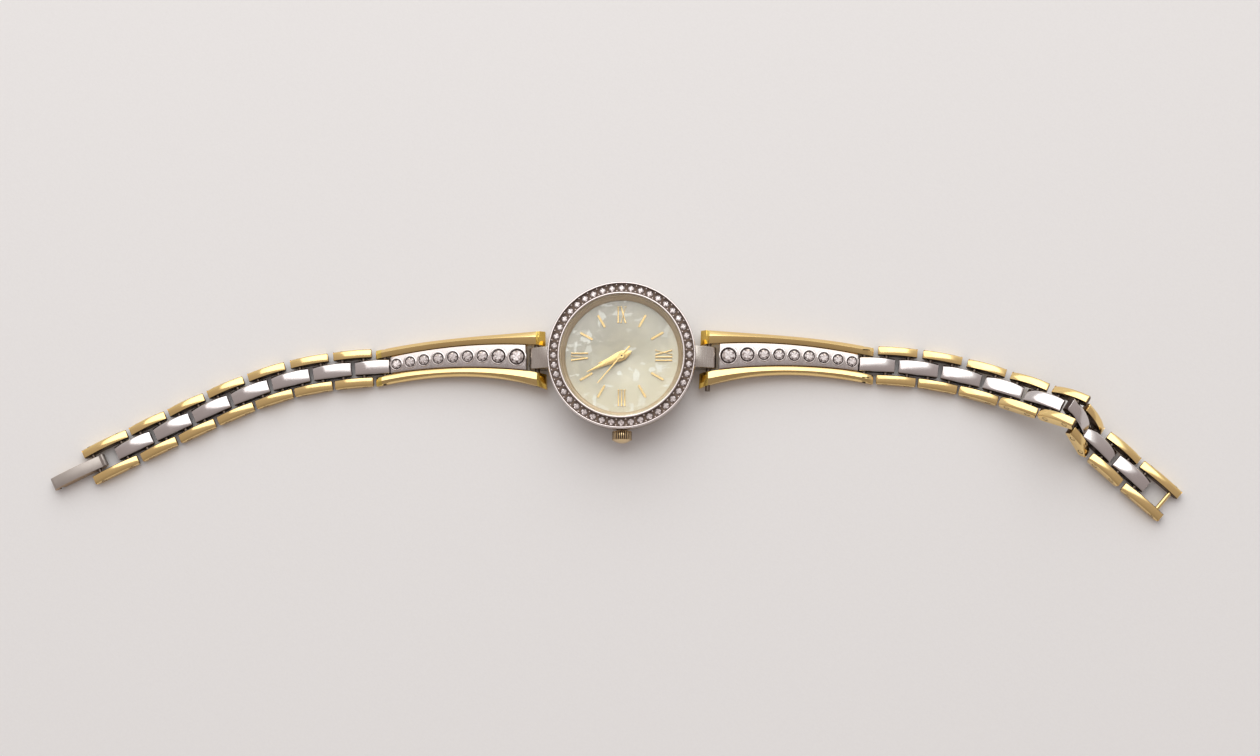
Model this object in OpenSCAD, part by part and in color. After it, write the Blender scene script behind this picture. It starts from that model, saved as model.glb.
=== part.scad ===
// Ladies' two-tone bracelet watch, laid flat with its dial up and its clasp open.
// Millimetres. The case back rests on z = 0 with its centre at the origin.
// +Z is up through the dial and +X points to twelve o'clock.

/* [Case] */
// Radius of the bezel's outer edge
bezel_r = 12; // [11.8:0.1:13]
// Height of the bezel's rims above the case back
case_h = 6.6; // [6.4:0.1:7.4]
// Height of the face that the bezel sits on
side_h = 5; // [4.8:0.1:5.2]
// Width of the ledge between the glass and the bore for the movement
ledge_w = 0.45; // [0.35:0.05:0.55]
// Width of the ring that holds the movement in its bore
holder_w = 1.25; // [1.15:0.05:1.4]
// Width of the rim that the case back's flange covers
back_flange = 0.6; // [0.4:0.05:0.9]
// Thickness of the case back's floor
back_t = 0.8; // [0.6:0.05:1]
// Running gap between pressed or dropped-in pieces of the case
seat_gap = 0.02; // [0.01:0.01:0.05]

/* [Bezel] */
// Width of the bezel, from its outer edge to the glass
bezel_w = 2; // [1.9:0.05:2.1]
// Width of the polished rim on each side of the stone channel
rim_w = 0.3; // [0.2:0.05:0.4]
// Depth of the stone channel below the rims
channel_d = 0.55; // [0.4:0.05:0.7]
// Number of stones in the bezel
stone_count = 44; // [36:1:46]
// Diameter of a bezel stone
stone_d = 1.04; // [0.8:0.02:1.1]
// Radius of a bead prong
prong_r = 0.16; // [0.1:0.01:0.18]

/* [Dial and hands] */
// Thickness of the dial
dial_t = 0.4; // [0.3:0.05:0.5]
// Width of the sloping ring between the dial and the glass
rehaut_w = 0.85; // [0.7:0.05:1]
// Bare width between the numerals and the sloping ring
marker_edge = 1; // [0.6:0.05:1.4]
// Length of a Roman numeral
numeral_l = 2.7; // [2:0.1:3]
// Length of a baton marker
baton_l = 2.35; // [1.8:0.05:2.6]
// Width of a baton marker
baton_w = 0.37; // [0.25:0.01:0.5]
// Height of the applied markers
marker_t = 0.16; // [0.1:0.02:0.18]
// Thickness of a hand
hand_t = 0.1; // [0.08:0.01:0.12]
// Length of the hour hand
hour_l = 4; // [3.5:0.1:4.6]
// Length of the minute hand
minute_l = 6.2; // [5.4:0.1:6.8]
// Length of the seconds hand
seconds_l = 5.9; // [5.2:0.1:6.8]
// Angle of the hour hand, clockwise from twelve
hour_at = 162.5; // [0:0.5:360]
// Angle of the minute hand, clockwise from twelve
minute_at = 155; // [0:0.5:360]
// Angle of the seconds hand, clockwise from twelve
seconds_at = 131; // [0:0.5:360]

/* [Crown] */
// Diameter of the crown
crown_d = 3.2; // [2.9:0.1:3.8]
// Length of the crown's fluted band
crown_l = 1.05; // [0.9:0.05:1.5]
// Height of the crown's domed end
crown_dome = 0.5; // [0.3:0.05:0.8]
// Number of flutes round the crown
flute_count = 30; // [20:1:36]
// Diameter of the stem
stem_d = 0.84; // [0.7:0.02:0.9]
// Distance the crown pulls out to set the time
pull_out = 1; // [0.6:0.1:1.1]
// Height of the stem above the case back
stem_z = 3.2; // [3.1:0.05:3.3]

/* [Lugs and end pieces] */
// Distance of each lug pin from the bezel's edge
lug_reach = 2; // [1.9:0.1:2.6]
// Height of the lug pins above the case back
lug_z = 2.2; // [2.1:0.05:2.4]
// Width of a lug
lug_w = 3.5; // [3:0.1:4]
// Radius of a lug's rounded end
lug_r = 1.25; // [1.1:0.05:1.3]
// Diameter of a lug pin
lug_pin_d = 0.8; // [0.6:0.05:0.9]
// Length of a pushed-out lug pin that stands proud of the rail
pin_proud = 0.9; // [0:0.1:1.2]
// Length of an end piece between its two pins
end_l = 25.3; // [23.5:0.1:27]
// Sideways bow of an end piece at its middle, toward nine o'clock
end_bow = 0.95; // [0:0.05:1.1]
// Half width of an end piece over its rails, at the case
end_wide = 4.8; // [4.6:0.05:5.3]
// Power of the rails' flare toward the case
flare = 3.2; // [2.4:0.1:3.6]
// Half height of a rail at the case
rail_h = 1.35; // [1.2:0.05:1.5]
// Half width of the stone plate at the case
plate_wide = 2.1; // [1.9:0.05:2.15]
// Half width of the stone plate at the links
plate_narrow = 1.35; // [1.2:0.05:1.4]
// Thickness of the web under the stone plate
web_t = 0.45; // [0.3:0.05:0.6]
// Diameters of the plate's stones, from the case outward
plate_stones_d = [2.7, 2.4, 1.95, 1.95, 1.95, 1.9, 1.85, 1.77, 1.77];
// Metal left between the outermost stones and the ends of their plate
plate_margin = 0.1; // [0.05:0.05:0.3]

/* [Bracelet links] */
// Distance between a link's two pins
pitch = 3.5; // [3.4:0.1:4]
// Thickness of a link
link_t = 1.9; // [1.6:0.1:2]
// Radius of a link's round ends, about the pins
link_end_r = 1.45; // [1.2:0.05:1.5]
// Width over a gold outer link
outer_w = 6.2; // [5.6:0.1:6.6]
// Width of one bar of a gold outer link
bar_w = 1.45; // [1.2:0.05:1.6]
// Width of a steel centre link
centre_w = 2.3; // [2:0.05:2.5]
// Diameter of a link pin
pin_d = 0.7; // [0.5:0.05:0.75]
// Clearance between a link pin and the bore that turns on it, on the radius
pin_gap = 0.09; // [0.05:0.01:0.1]
// Radius of the lengthwise crown on top of a link
crown_R = 9; // [7:0.5:20]
// Distance between the two pins of the long link that carries the clasp
clasp_link_l = 5.1; // [4.9:0.1:6]
// Distance from the pin to the catch bar in the long end link
catch_link_l = 4.85; // [4.6:0.05:6]

/* [Clasp] */
// Length of the clasp's arm beyond its pin
clasp_l = 7.95; // [7:0.05:9]
// Length of the clasp's tail inside its link
clasp_tail = 1.75; // [1.5:0.05:1.8]
// Width of the clasp's channel
clasp_w = 2; // [1.8:0.1:2.4]
// Thickness of the clasp's sheet
clasp_sheet = 0.4; // [0.3:0.05:0.5]

/* [Hidden] */
$fn = 96;
eps = 0.01;

// Radii in the case, from the bezel inward
glass_r = bezel_r - bezel_w;
cavity_r = glass_r - ledge_w;
rehaut_r = glass_r - rehaut_w;
dial_r = cavity_r - 0.05;
marker_in = rehaut_r - marker_edge - numeral_l;
movement_r = cavity_r - holder_w;

// Heights in the case
back_top = back_t + 0.1;
holder_z = 1.9;
plate_z = 2.6;
dial_z = side_h - 0.9;
dial_top = dial_z + dial_t;
ledge_z = side_h - 0.45;
glass_z = case_h - 0.98;

// Bezel channel
channel_in = glass_r + rim_w;
channel_out = bezel_r - rim_w;
channel_r = (channel_in + channel_out) / 2;
channel_z = case_h - channel_d;

// Hand stack: each pipe turns inside the next
arbor_r = 0.12;
cannon_in = 0.18;
cannon_out = 0.34;
pipe_in = 0.4;
pipe_out = 0.58;
dial_hole_r = 0.66;
hand_gap = 0.13;
hour_z = dial_top + marker_t + hand_gap;
minute_z = hour_z + hand_t + hand_gap;
seconds_z = minute_z + hand_t + hand_gap;
hour_wheel_r = 2.3;
minute_wheel_r = 1.7;
seconds_wheel_r = 1.6;

// Battery cell, which fills the plate between the hand wheels and the rim
battery_r = (movement_r - minute_wheel_r - 0.8) / 2;
battery_t = 1.85;
battery_at = (movement_r - battery_r - 0.12) * [cos(143), sin(143), 0];

// Crown and stem, measured along -Y
crown_y = -bezel_r - 0.5;
stem_in = 3.6 - movement_r;
groove_y = 2.2 - movement_r;
groove_w = 0.5;
tube_r = 0.9;
stem_bore_r = stem_d / 2 + 0.08;

// End pieces, measured outward from the lug pin
lug_x = bezel_r + lug_reach;
rail_start = -1.4;
rail_end = end_l + link_end_r;
end_narrow = outer_w / 2 - 0.12;
rail_clear = 0.12;
plate_start = 1.75;
link_half = link_t / 2;
plate_end = end_l - link_half - rail_clear;
pin_z = 1;
end_slope = asin((lug_z - pin_z) / end_l);

// Lay of the bracelet: heading toward the crown side, slope down and roll of each piece,
// from the case outward, in degrees
LEFT_LAY = [
    [2.2, end_slope, 0], [3.5, 0, 0], [5, 0, 0], [7.5, 0, 0], [10.5, 0, 0], [14, 0, 0],
    [18, 0, 0], [21, 0, 0], [23, 0, 0], [24.5, 0, 0], [25, 0, 0], [25.5, 0, 0],
    [26, 0, 0], [26, 0, 0], [26, 0, 0], [26, 0, 0]
];
RIGHT_LAY = [
    [2.2, end_slope, 0], [3.5, 0, 0], [5, 0, 0], [7.5, 0, 0], [11, 0, 0], [14.5, -3, -1.5],
    [17.5, -8, -4.5], [20, -14, -7.5], [22, -20, -10.5], [23, -27, -13.5], [24, -34, -16],
    [49, 41, -20], [48, 46, -17], [42, 12, -12], [42, 4, -8.5], [42, 4, -4.5], [41, 3, -0.5]
];
LEFT = -1;
RIGHT = 1;
LINKS_LEFT = 7;
LINKS_RIGHT = 8;

// Places of the bracelet's pieces

function lay(side) = side == LEFT ? LEFT_LAY : RIGHT_LAY;
function yaw(side, k) = side == LEFT ? 180 + lay(side)[k][0] : -lay(side)[k][0];

// Length of piece k between its pins: the end piece, the links, then the clasp
function span_of(side, k) =
    k == 0 ? end_l
    : k < len(lay(side)) - (side == LEFT ? 2 : 1) ? pitch
    : side == RIGHT ? catch_link_l
    : k == len(lay(side)) - 2 ? clasp_link_l : clasp_l;

// Unit vector along piece k, from its inner pin to its outer one
function along(side, k) =
    let (a = yaw(side, k), s = lay(side)[k][1])
    [cos(a) * cos(s), sin(a) * cos(s), -sin(s)];

// Place of piece k's inner pin
function pin_at(side, k) =
    k == 0 ? [side * lug_x, 0, lug_z]
    : pin_at(side, k - 1) + span_of(side, k - 1) * along(side, k - 1);

// Puts a piece drawn along +X from its inner pin where it lies
module at_link(side, k) {
    translate(pin_at(side, k))
        rotate([lay(side)[k][2], lay(side)[k][1], yaw(side, k)]) children();
}

// Cylinder along Y through a point of the XZ plane
module cross_cylinder(x, z, r, w) {
    translate([x, w / 2, z]) rotate([90, 0, 0]) cylinder(r = r, h = w);
}

// A solid through rings of points, each ring the same way round, with flat ends
module loft(rings) {
    n = len(rings[0]);
    m = len(rings);
    polyhedron(
        points = [for (ring = rings) each ring],
        faces = concat(
            [[for (i = [0 : n - 1]) i]],
            [for (j = [0 : m - 2], i = [0 : n - 1])
                each [[(j + 1) * n + (i + 1) % n, j * n + (i + 1) % n, j * n + i],
                      [(j + 1) * n + i, (j + 1) * n + (i + 1) % n, j * n + i]]],
            [[for (i = [n - 1 : -1 : 0]) (m - 1) * n + i]]
        )
    );
}

// Round cut stone with its table up and its girdle at z = 0
module cut_stone(d, sides) {
    rotate_extrude($fn = sides)
        polygon([[0, -0.3 * d], [0.16 * d, -0.3 * d], [0.5 * d, -0.04 * d], [0.5 * d, 0.03 * d],
                 [0.28 * d, 0.2 * d], [0, 0.2 * d]]);
}

// Case

module lug(side) {
    mirror([side == LEFT ? 1 : 0, 0, 0]) {
        cross_cylinder(lug_x, lug_z, lug_r, lug_w);
        translate([0, lug_w / 2, 0]) rotate([90, 0, 0])
            linear_extrude(lug_w)
                polygon([
                    [bezel_r - 1.1, lug_z - lug_r], [lug_x, lug_z - lug_r],
                    [lug_x + lug_r * sin(26), lug_z + lug_r * cos(26)],
                    [bezel_r - 0.4, side_h - 0.25], [bezel_r - 1.1, side_h - 0.25]
                ]);
    }
}

module case_body() {
    color("#d8cdb4")
        difference() {
            union() {
                rotate_extrude()
                    polygon([
                        [bezel_r - 1.65, back_top], [bezel_r - 1, back_top], [bezel_r - 0.3, holder_z],
                        [bezel_r - 0.1, side_h / 2 + 1], [bezel_r - 0.2, side_h],
                        [glass_r + 0.25, side_h], [glass_r + 0.25, ledge_z], [cavity_r, ledge_z],
                        [cavity_r, holder_z], [bezel_r - 1.65, holder_z]
                    ]);
                lug(LEFT);
                lug(RIGHT);
            }
            for (side = [LEFT, RIGHT]) at_link(side, 0)
                cross_cylinder(0, 0, lug_pin_d / 2 + 0.05, lug_w + 2);
            translate([0, -cavity_r + 1, stem_z]) rotate([90, 0, 0])
                cylinder(r = tube_r + seat_gap / 2, h = 5);
        }
}

module case_back() {
    snap_r = bezel_r - 2.1;
    color("#c9c6c0")
        difference() {
            rotate_extrude()
                polygon([
                    [0, 0], [snap_r - 0.3, 0], [snap_r + 0.2, 0.12], [snap_r + 1, back_top - 0.35],
                    [snap_r + 1, back_top], [snap_r, back_top], [snap_r, holder_z - 0.15],
                    [snap_r - back_flange, holder_z - 0.15], [snap_r - back_flange, back_t], [0, back_t]
                ]);
            // Notch for prying the back off
            rotate(60) translate([snap_r + 0.55, -1.2, back_top - 0.4]) cube([1, 2.4, 0.3]);
        }
}

module back_gasket() {
    snap_r = bezel_r - 2.1;
    ring_r = (bezel_r - 1.65 - snap_r) / 2;
    color("#2a2a2a")
        translate([0, 0, back_top + ring_r + 0.15])
            rotate_extrude() translate([snap_r + ring_r, 0]) circle(r = ring_r - seat_gap / 2);
}

module stone_places() {
    for (i = [0 : stone_count - 1]) rotate(360 * i / stone_count) translate([channel_r, 0, 0]) children();
}

module bezel() {
    seat_d = 0.34 * stone_d;
    color("#cfc6c4")
        difference() {
            union() {
                rotate_extrude()
                    polygon([
                        [glass_r, ledge_z], [glass_r + 0.22, ledge_z], [glass_r + 0.22, side_h],
                        [bezel_r - 0.15, side_h], [bezel_r, side_h + 0.15], [bezel_r, case_h - 0.3],
                        [bezel_r - 0.1, case_h - 0.1], [channel_out, case_h - 0.1],
                        [channel_out, channel_z], [channel_in, channel_z], [channel_in, case_h - 0.08],
                        [channel_in - 0.1, case_h], [glass_r, case_h]
                    ]);
                // Bead prongs, an inner and an outer one between neighbouring stones
                for (i = [0 : stone_count - 1], r = [channel_in, channel_out]) {
                    inset = r == channel_in ? prong_r + 0.04 : -prong_r - 0.04;
                    rotate(360 * (i + 0.5) / stone_count) translate([r + inset, 0, channel_z - 0.05])
                        cylinder(r = prong_r, h = channel_d - 0.15, $fn = 24);
                }
            }
            stone_places() translate([0, 0, channel_z - seat_d])
                cylinder(r = stone_d / 2 + seat_gap, h = seat_d + 1, $fn = 24);
        }
}

module bezel_stones() {
    color("#f3dfe4")
        stone_places() translate([0, 0, channel_z - 0.04 * stone_d]) cut_stone(stone_d, 8);
}

module crystal_glass() {
    bevel = 0.2;
    r = glass_r - seat_gap;
    color("#dfe9ea", 0.35)
        rotate_extrude()
            polygon([[0, glass_z], [r, glass_z], [r, case_h - bevel], [r - bevel, case_h], [0, case_h]]);
}

module rehaut_ring() {
    mid_z = (dial_top + glass_z) / 2;
    color("#cbb98a")
        rotate_extrude()
            polygon([
                [rehaut_r, dial_top], [dial_r, dial_top], [dial_r, ledge_z], [glass_r - seat_gap, ledge_z],
                [glass_r - seat_gap, glass_z], [glass_r - 0.2, glass_z], [rehaut_r + 0.4, mid_z + 0.05],
                [rehaut_r + 0.28, mid_z], [rehaut_r, dial_top + 0.12]
            ]);
}

module dial() {
    color("#e6e2d0")
        translate([0, 0, dial_z]) difference() {
            cylinder(r = dial_r, h = dial_t);
            translate([0, 0, -1]) cylinder(r = dial_hole_r, h = dial_t + 2);
        }
}

// Strokes of the numerals, drawn upright with the foot at y = 0

module stroke_i(x, w) {
    serif = 0.09;
    translate([x - w / 2, 0]) square([w, numeral_l]);
    for (y = [0, numeral_l - serif]) translate([x - w / 2 - 0.08, y]) square([w + 0.16, serif]);
}

module slanted(x0, x1, w) {
    polygon([[x0 - w / 2, 0], [x0 + w / 2, 0], [x1 + w / 2, numeral_l], [x1 - w / 2, numeral_l]]);
}

module stroke_x(x) {
    half = 0.36;
    slanted(x + half, x - half, 0.24);
    slanted(x - half, x + half, 0.1);
    for (s = [-1, 1], y = [0, numeral_l - 0.09]) translate([x + s * half - 0.18, y]) square([0.36, 0.09]);
}

module stroke_v(x) {
    half = 0.34;
    slanted(x, x - half, 0.24);
    slanted(x + 0.06, x + half, 0.1);
    for (s = [-1, 1]) translate([x + s * half - 0.18, numeral_l - 0.09]) square([0.36, 0.09]);
}

module numeral(hour) {
    if (hour == 12) {
        stroke_x(-0.56);
        for (x = [0.2, 0.75]) stroke_i(x, 0.22);
    }
    if (hour == 3) for (x = [-0.5, 0, 0.5]) stroke_i(x, 0.22);
    if (hour == 6) {
        stroke_v(-0.3);
        stroke_i(0.5, 0.22);
    }
    if (hour == 9) {
        stroke_i(-0.6, 0.22);
        stroke_x(0.22);
    }
}

module hour_markers() {
    color("#dcc27c")
        for (hour = [1 : 12]) rotate(-30 * hour) translate([marker_in, 0, dial_top])
            rotate(-90) linear_extrude(marker_t)
                if (hour % 3 == 0) numeral(hour);
                else {
                    translate([-baton_w / 2, baton_w / 2]) square([baton_w, baton_l - baton_w]);
                    for (y = [baton_w / 2, baton_l - baton_w / 2])
                        translate([0, y]) circle(d = baton_w, $fn = 24);
                }
}

// Hands, pointing along +X, each with its pipe and wheel

module hand_outline(l, half_w, tail) {
    polygon([
        [-tail, 0], [-0.55 * tail, 0.62 * half_w], [-0.3, half_w], [0.45, half_w],
        [0.55 * l, 0.42 * half_w], [l, 0.04], [l, -0.04], [0.55 * l, -0.42 * half_w],
        [0.45, -half_w], [-0.3, -half_w], [-0.55 * tail, -0.62 * half_w]
    ]);
}

// Outline of a small wheel whose teeth are a cosine wave round the pitch circle
module wheel_outline(r, teeth, depth) {
    polygon([for (i = [0 : 4 * teeth - 1])
        let (a = 90 * i / teeth, q = r + depth * (i % 4 < 2 ? 1 : -1)) [q * cos(a), q * sin(a)]]);
}

module pointing(at) {
    rotate(-at) children();
}

module hour_hand() {
    wheel_t = 0.25;
    color("#e4cb86")
        pointing(hour_at) difference() {
            union() {
                translate([0, 0, hour_z]) linear_extrude(hand_t) hand_outline(hour_l, 0.8, 1.6);
                translate([0, 0, dial_z - 0.5]) cylinder(r = pipe_out, h = hour_z + hand_t - dial_z + 0.5);
                translate([0, 0, dial_z - 0.5]) linear_extrude(wheel_t) wheel_outline(hour_wheel_r, 40, 0.09);
            }
            translate([0, 0, plate_z]) cylinder(r = pipe_in, h = hour_z + 1 - plate_z);
        }
}

module minute_hand() {
    wheel_t = 0.25;
    low = plate_z - 0.55;
    color("#e4cb86")
        pointing(minute_at) difference() {
            union() {
                translate([0, 0, minute_z]) linear_extrude(hand_t) hand_outline(minute_l, 0.78, 1.8);
                translate([0, 0, low]) cylinder(r = cannon_out, h = minute_z + hand_t - low);
                translate([0, 0, low]) linear_extrude(wheel_t) wheel_outline(minute_wheel_r, 30, 0.08);
            }
            translate([0, 0, low - 1]) cylinder(r = cannon_in, h = minute_z + 2 - low);
        }
}

module seconds_hand() {
    wheel_t = 0.2;
    low = back_t + 0.22;
    tail = 2.05;
    color("#e4cb86")
        pointing(seconds_at) {
            translate([0, 0, seconds_z]) linear_extrude(hand_t)
                polygon([
                    [-tail, -0.13], [-0.7, -0.09], [0, -0.1], [seconds_l, -0.04], [seconds_l, 0.04],
                    [0, 0.1], [-0.7, 0.09], [-tail, 0.13]
                ]);
            translate([0, 0, seconds_z - 0.04]) cylinder(r = 0.5, h = hand_t + 0.1);
            translate([0, 0, low]) cylinder(r = arbor_r, h = seconds_z + hand_t - low);
            translate([0, 0, plate_z - 1.1]) linear_extrude(wheel_t) wheel_outline(seconds_wheel_r, 28, 0.08);
        }
}

// Movement

module movement_plate() {
    travel = pull_out + 0.15;
    color("#b9a46a")
        difference() {
            union() {
                translate([0, 0, plate_z]) cylinder(r = movement_r, h = dial_z - plate_z);
                for (a = [60, 195, 315]) rotate(a) translate([movement_r - 1, 0, back_t])
                    cylinder(r = 0.6, h = plate_z - back_t + eps);
            }
            // Recess for the hour wheel and the hole for the pipes
            translate([0, 0, dial_z - 0.65]) cylinder(r = hour_wheel_r + 0.4, h = 2);
            translate([0, 0, plate_z - 1]) cylinder(r = cannon_out + 0.05, h = 4);
            // Slot for the stem and pocket for the setting lever
            translate([-stem_bore_r, -movement_r - 1, plate_z - 1])
                cube([2 * stem_bore_r, movement_r + 1 + stem_in + 0.3, 4]);
            translate([-1.25, groove_y - groove_w / 2 - travel + 0.1, plate_z - 1])
                cube([2.5, travel + groove_w, 4]);
            // Pocket for the battery cell
            translate(battery_at + [0, 0, plate_z - 1]) cylinder(r = battery_r + 0.1, h = 1.3);
        }
}

module train_bridge() {
    low = back_t + 0.2;
    bridge_t = 0.4;
    posts = movement_r * [[0.63, 0.29, 0], [0.09, -0.37, 0]];
    color("#c7c3bb")
        difference() {
            translate([0, 0, low]) hull() {
                cylinder(r = seconds_wheel_r, h = bridge_t);
                for (p = posts) translate(p) cylinder(r = 1.2, h = bridge_t);
            }
            translate([0, 0, low - 1]) cylinder(r = arbor_r + 0.06, h = 3);
        }
    // Posts that carry the bridge under the main plate
    color("#c7c3bb")
        for (p = posts) translate(p + [0, 0, low + bridge_t])
            cylinder(r = 0.45, h = plate_z - low - bridge_t);
}

module battery_cell() {
    can_t = battery_t - 0.5;
    color("#d6d6d2")
        translate(battery_at + [0, 0, back_t + 0.1]) {
            cylinder(r = battery_r, h = can_t);
            translate([0, 0, can_t]) cylinder(r = battery_r - 0.4, h = battery_t - can_t);
        }
}

module drive_coil() {
    coil_l = 0.55 * movement_r;
    start = movement_r * [-0.6, -0.555, 0];
    color("#b06a3a")
        translate(start + [0, 0, plate_z - 0.85]) rotate([0, 90, -28]) {
            cylinder(r = 0.7, h = coil_l);
            for (z = [-0.3, coil_l]) translate([0, 0, z]) cylinder(r = 0.8, h = 0.3);
        }
}

module movement_holder() {
    color("#ece9e0")
        difference() {
            rotate_extrude()
                polygon([
                    [movement_r + seat_gap, holder_z - 0.1], [cavity_r - seat_gap, holder_z - 0.1],
                    [cavity_r - seat_gap, dial_z], [movement_r + seat_gap, dial_z]
                ]);
            translate([-1.1, -cavity_r - 1, stem_z - 1.1]) cube([2.2, 3, 4]);
        }
}

// Crown

module stem_tube() {
    tube_l = bezel_r + 0.75 - cavity_r;
    color("#c9b27a")
        translate([0, -cavity_r, stem_z]) rotate([90, 0, 0]) difference() {
            cylinder(r = tube_r, h = tube_l);
            translate([0, 0, -1]) cylinder(r = stem_bore_r, h = tube_l + 2);
        }
}

module setting_lever() {
    color("#9c9890")
        difference() {
            translate([-1.2, groove_y - 0.18, plate_z + 0.02]) cube([2.4, 0.36, dial_z - plate_z - 0.7]);
            translate([0, groove_y + 1, stem_z]) rotate([90, 0, 0]) cylinder(r = stem_d / 2 - 0.11, h = 2);
        }
}

module stem() {
    color("#9c9890")
        difference() {
            translate([0, stem_in, stem_z]) rotate([90, 0, 0])
                cylinder(d = stem_d, h = stem_in - crown_y + crown_l - 0.1);
            // Groove that the setting lever holds
            translate([0, groove_y + groove_w / 2, stem_z]) rotate([90, 0, 0]) difference() {
                cylinder(r = stem_d, h = groove_w);
                translate([0, 0, -1]) cylinder(r = stem_d / 2 - 0.17, h = groove_w + 2);
            }
        }
}

module crown() {
    r = crown_d / 2;
    flute_r = 0.3 * PI * crown_d / flute_count;
    dome_edge = r - 0.15;
    dome_R = (dome_edge * dome_edge + crown_dome * crown_dome) / (2 * crown_dome);
    color("#cdb06a")
        translate([0, crown_y, stem_z]) rotate([90, 0, 0]) difference() {
            union() {
                cylinder(r = r, h = crown_l);
                translate([0, 0, crown_l]) intersection() {
                    cylinder(r = dome_edge, h = crown_dome);
                    translate([0, 0, crown_dome - dome_R]) sphere(r = dome_R);
                }
            }
            for (i = [0 : flute_count - 1]) rotate(360 * i / flute_count)
                translate([r, 0, -1]) cylinder(r = flute_r, h = crown_l + 1, $fn = 16);
            // Recess over the tube and the hole for the stem
            translate([0, 0, -1]) cylinder(r = tube_r + 0.12, h = 1.7);
            translate([0, 0, -1]) cylinder(r = stem_d / 2 + eps, h = crown_l + 1);
        }
}

// End pieces, drawn along +X from the lug pin

// Sideways place of the end piece's middle line, nought at its two pins
function bow(side, s) = side * end_bow * 4 * s * (end_l - s) / (end_l * end_l);

// Half width to a rail's outer face, s from the lug pin
function rail_out(s) =
    end_narrow + (end_wide - end_narrow) * pow((rail_end - s) / (rail_end - rail_start), flare);

// Half width of the stone plate, and to a rail's inner face
function plate_half(s) =
    plate_wide + (plate_narrow - plate_wide) * (s - plate_start) / (plate_end - plate_start);
function rail_in(s) = max(plate_half(s) + rail_clear, centre_w / 2 + 0.4);

// Half height of the rails
function rail_half(s) = rail_h + (link_half - rail_h) * (s - rail_start) / (rail_end - rail_start);

// Height of a rail's top, drop below its ridge, cut down by the bright bevels at its two ends
function rail_top(s, drop) =
    min(rail_half(s) - drop, -0.2 * rail_h + (s - rail_start) * 1.15 - 0.15 * drop,
        0.35 * link_half + (rail_end - s) * 0.62 - 0.15 * drop);

// Five-sided section of a rail with a ridge between two facets
function rail_ring(side, s, hand) =
    let (
        o = rail_out(s), i = rail_in(s), h = rail_half(s), mid = o - 0.45 * (o - i), b = bow(side, s),
        ring = [
            [s, i, -h], [s, o - 0.15, -h], [s, o, -h + 0.25], [s, o, rail_top(s, 0.75)],
            [s, mid, rail_top(s, 0)], [s, i, rail_top(s, 0.4)]
        ]
    )
    hand > 0 ? [for (q = ring) q + [0, b, 0]]
    : [for (k = [len(ring) - 1 : -1 : 0]) [ring[k][0], b - ring[k][1], ring[k][2]]];

module rail(side, hand) {
    steps = 22;
    cuts = [rail_start, rail_start + 0.7, rail_start + 1.42, 1.2];
    body = [for (k = [1 : steps]) 1.2 + (rail_end - 1.6 - 1.2) * k / steps];
    tip = [rail_end - 0.8, rail_end - 0.3, rail_end];
    loft([for (s = concat(cuts, body, tip)) rail_ring(side, s, hand)]);
}

// Stations along the stone plate and its web
PLATE_STEPS = 12;
function plate_s(k) = plate_start + (plate_end - plate_start) * k / PLATE_STEPS;

module web(side) {
    section = function (s) let (w = rail_in(s) + 0.25, b = bow(side, s), z = -rail_half(s) + 0.1)
        [[s, b - w, z], [s, b + w, z], [s, b + w, z + web_t], [s, b - w, z + web_t]];
    loft([for (k = [0 : PLATE_STEPS]) section(plate_s(k))]);
}

module end_frame(side) {
    bore = 0.01;
    at_link(side, 0) {
        color("#e2c069") difference() {
            union() {
                rail(side, 1);
                rail(side, -1);
                web(side);
            }
            cross_cylinder(0, 0, lug_pin_d / 2 + bore, 2 * end_wide + 2);
            cross_cylinder(end_l, 0, pin_d / 2 + bore, 2 * end_wide + 2);
        }
        color("#8f8a80") cross_cylinder(end_l, 0, pin_d / 2, 2 * rail_out(end_l) - 0.2);
    }
}

// Metal left between two stones when they fill the plate
function total(sizes, i = 0) = i < len(sizes) ? sizes[i] + total(sizes, i + 1) : 0;
stone_gap = (plate_end - plate_start - 2 * plate_margin - total(plate_stones_d)) / (len(plate_stones_d) - 1);

// Distance of stone i from the lug pin
function stone_s(i) =
    i == 0 ? plate_start + plate_margin + plate_stones_d[0] / 2
    : stone_s(i - 1) + (plate_stones_d[i - 1] + plate_stones_d[i]) / 2 + stone_gap;
function plate_top(s) = rail_half(s) - 0.3;

module plate_stone_places(side) {
    tilt = atan((rail_h - link_half) / (rail_end - rail_start));
    for (i = [0 : len(plate_stones_d) - 1]) {
        $d = plate_stones_d[i];
        translate([stone_s(i), bow(side, stone_s(i)), plate_top(stone_s(i))]) rotate([0, tilt, 0]) children();
    }
}

module stone_plate(side) {
    section = function (s)
        let (w = plate_half(s), b = bow(side, s), low = -rail_half(s) + 0.1 + web_t, top = plate_top(s))
        [[s, b - w, low], [s, b + w, low], [s, b + w, top - 0.1], [s, b + w - 0.1, top],
         [s, b - w + 0.1, top], [s, b - w, top - 0.1]];
    color("#d9d4d0")
        at_link(side, 0) difference() {
            loft([for (k = [0 : PLATE_STEPS]) section(plate_s(k))]);
            plate_stone_places(side) translate([0, 0, -0.34 * $d])
                cylinder(r = $d / 2 + seat_gap, h = 3, $fn = 48);
        }
}

module plate_stones(side) {
    color("#f0dde0")
        at_link(side, 0) plate_stone_places(side) translate([0, 0, -0.04 * $d]) cut_stone($d, 12);
}

// Pressed in the rails, turning in the lug
module lug_pin(side, proud) {
    reach = rail_out(0);
    color("#6f6a62")
        at_link(side, 0)
            translate([0, reach, 0]) rotate([90, 0, 0]) cylinder(d = lug_pin_d, h = 2 * reach + proud);
}

// Links, drawn along +X from the inner pin

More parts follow.
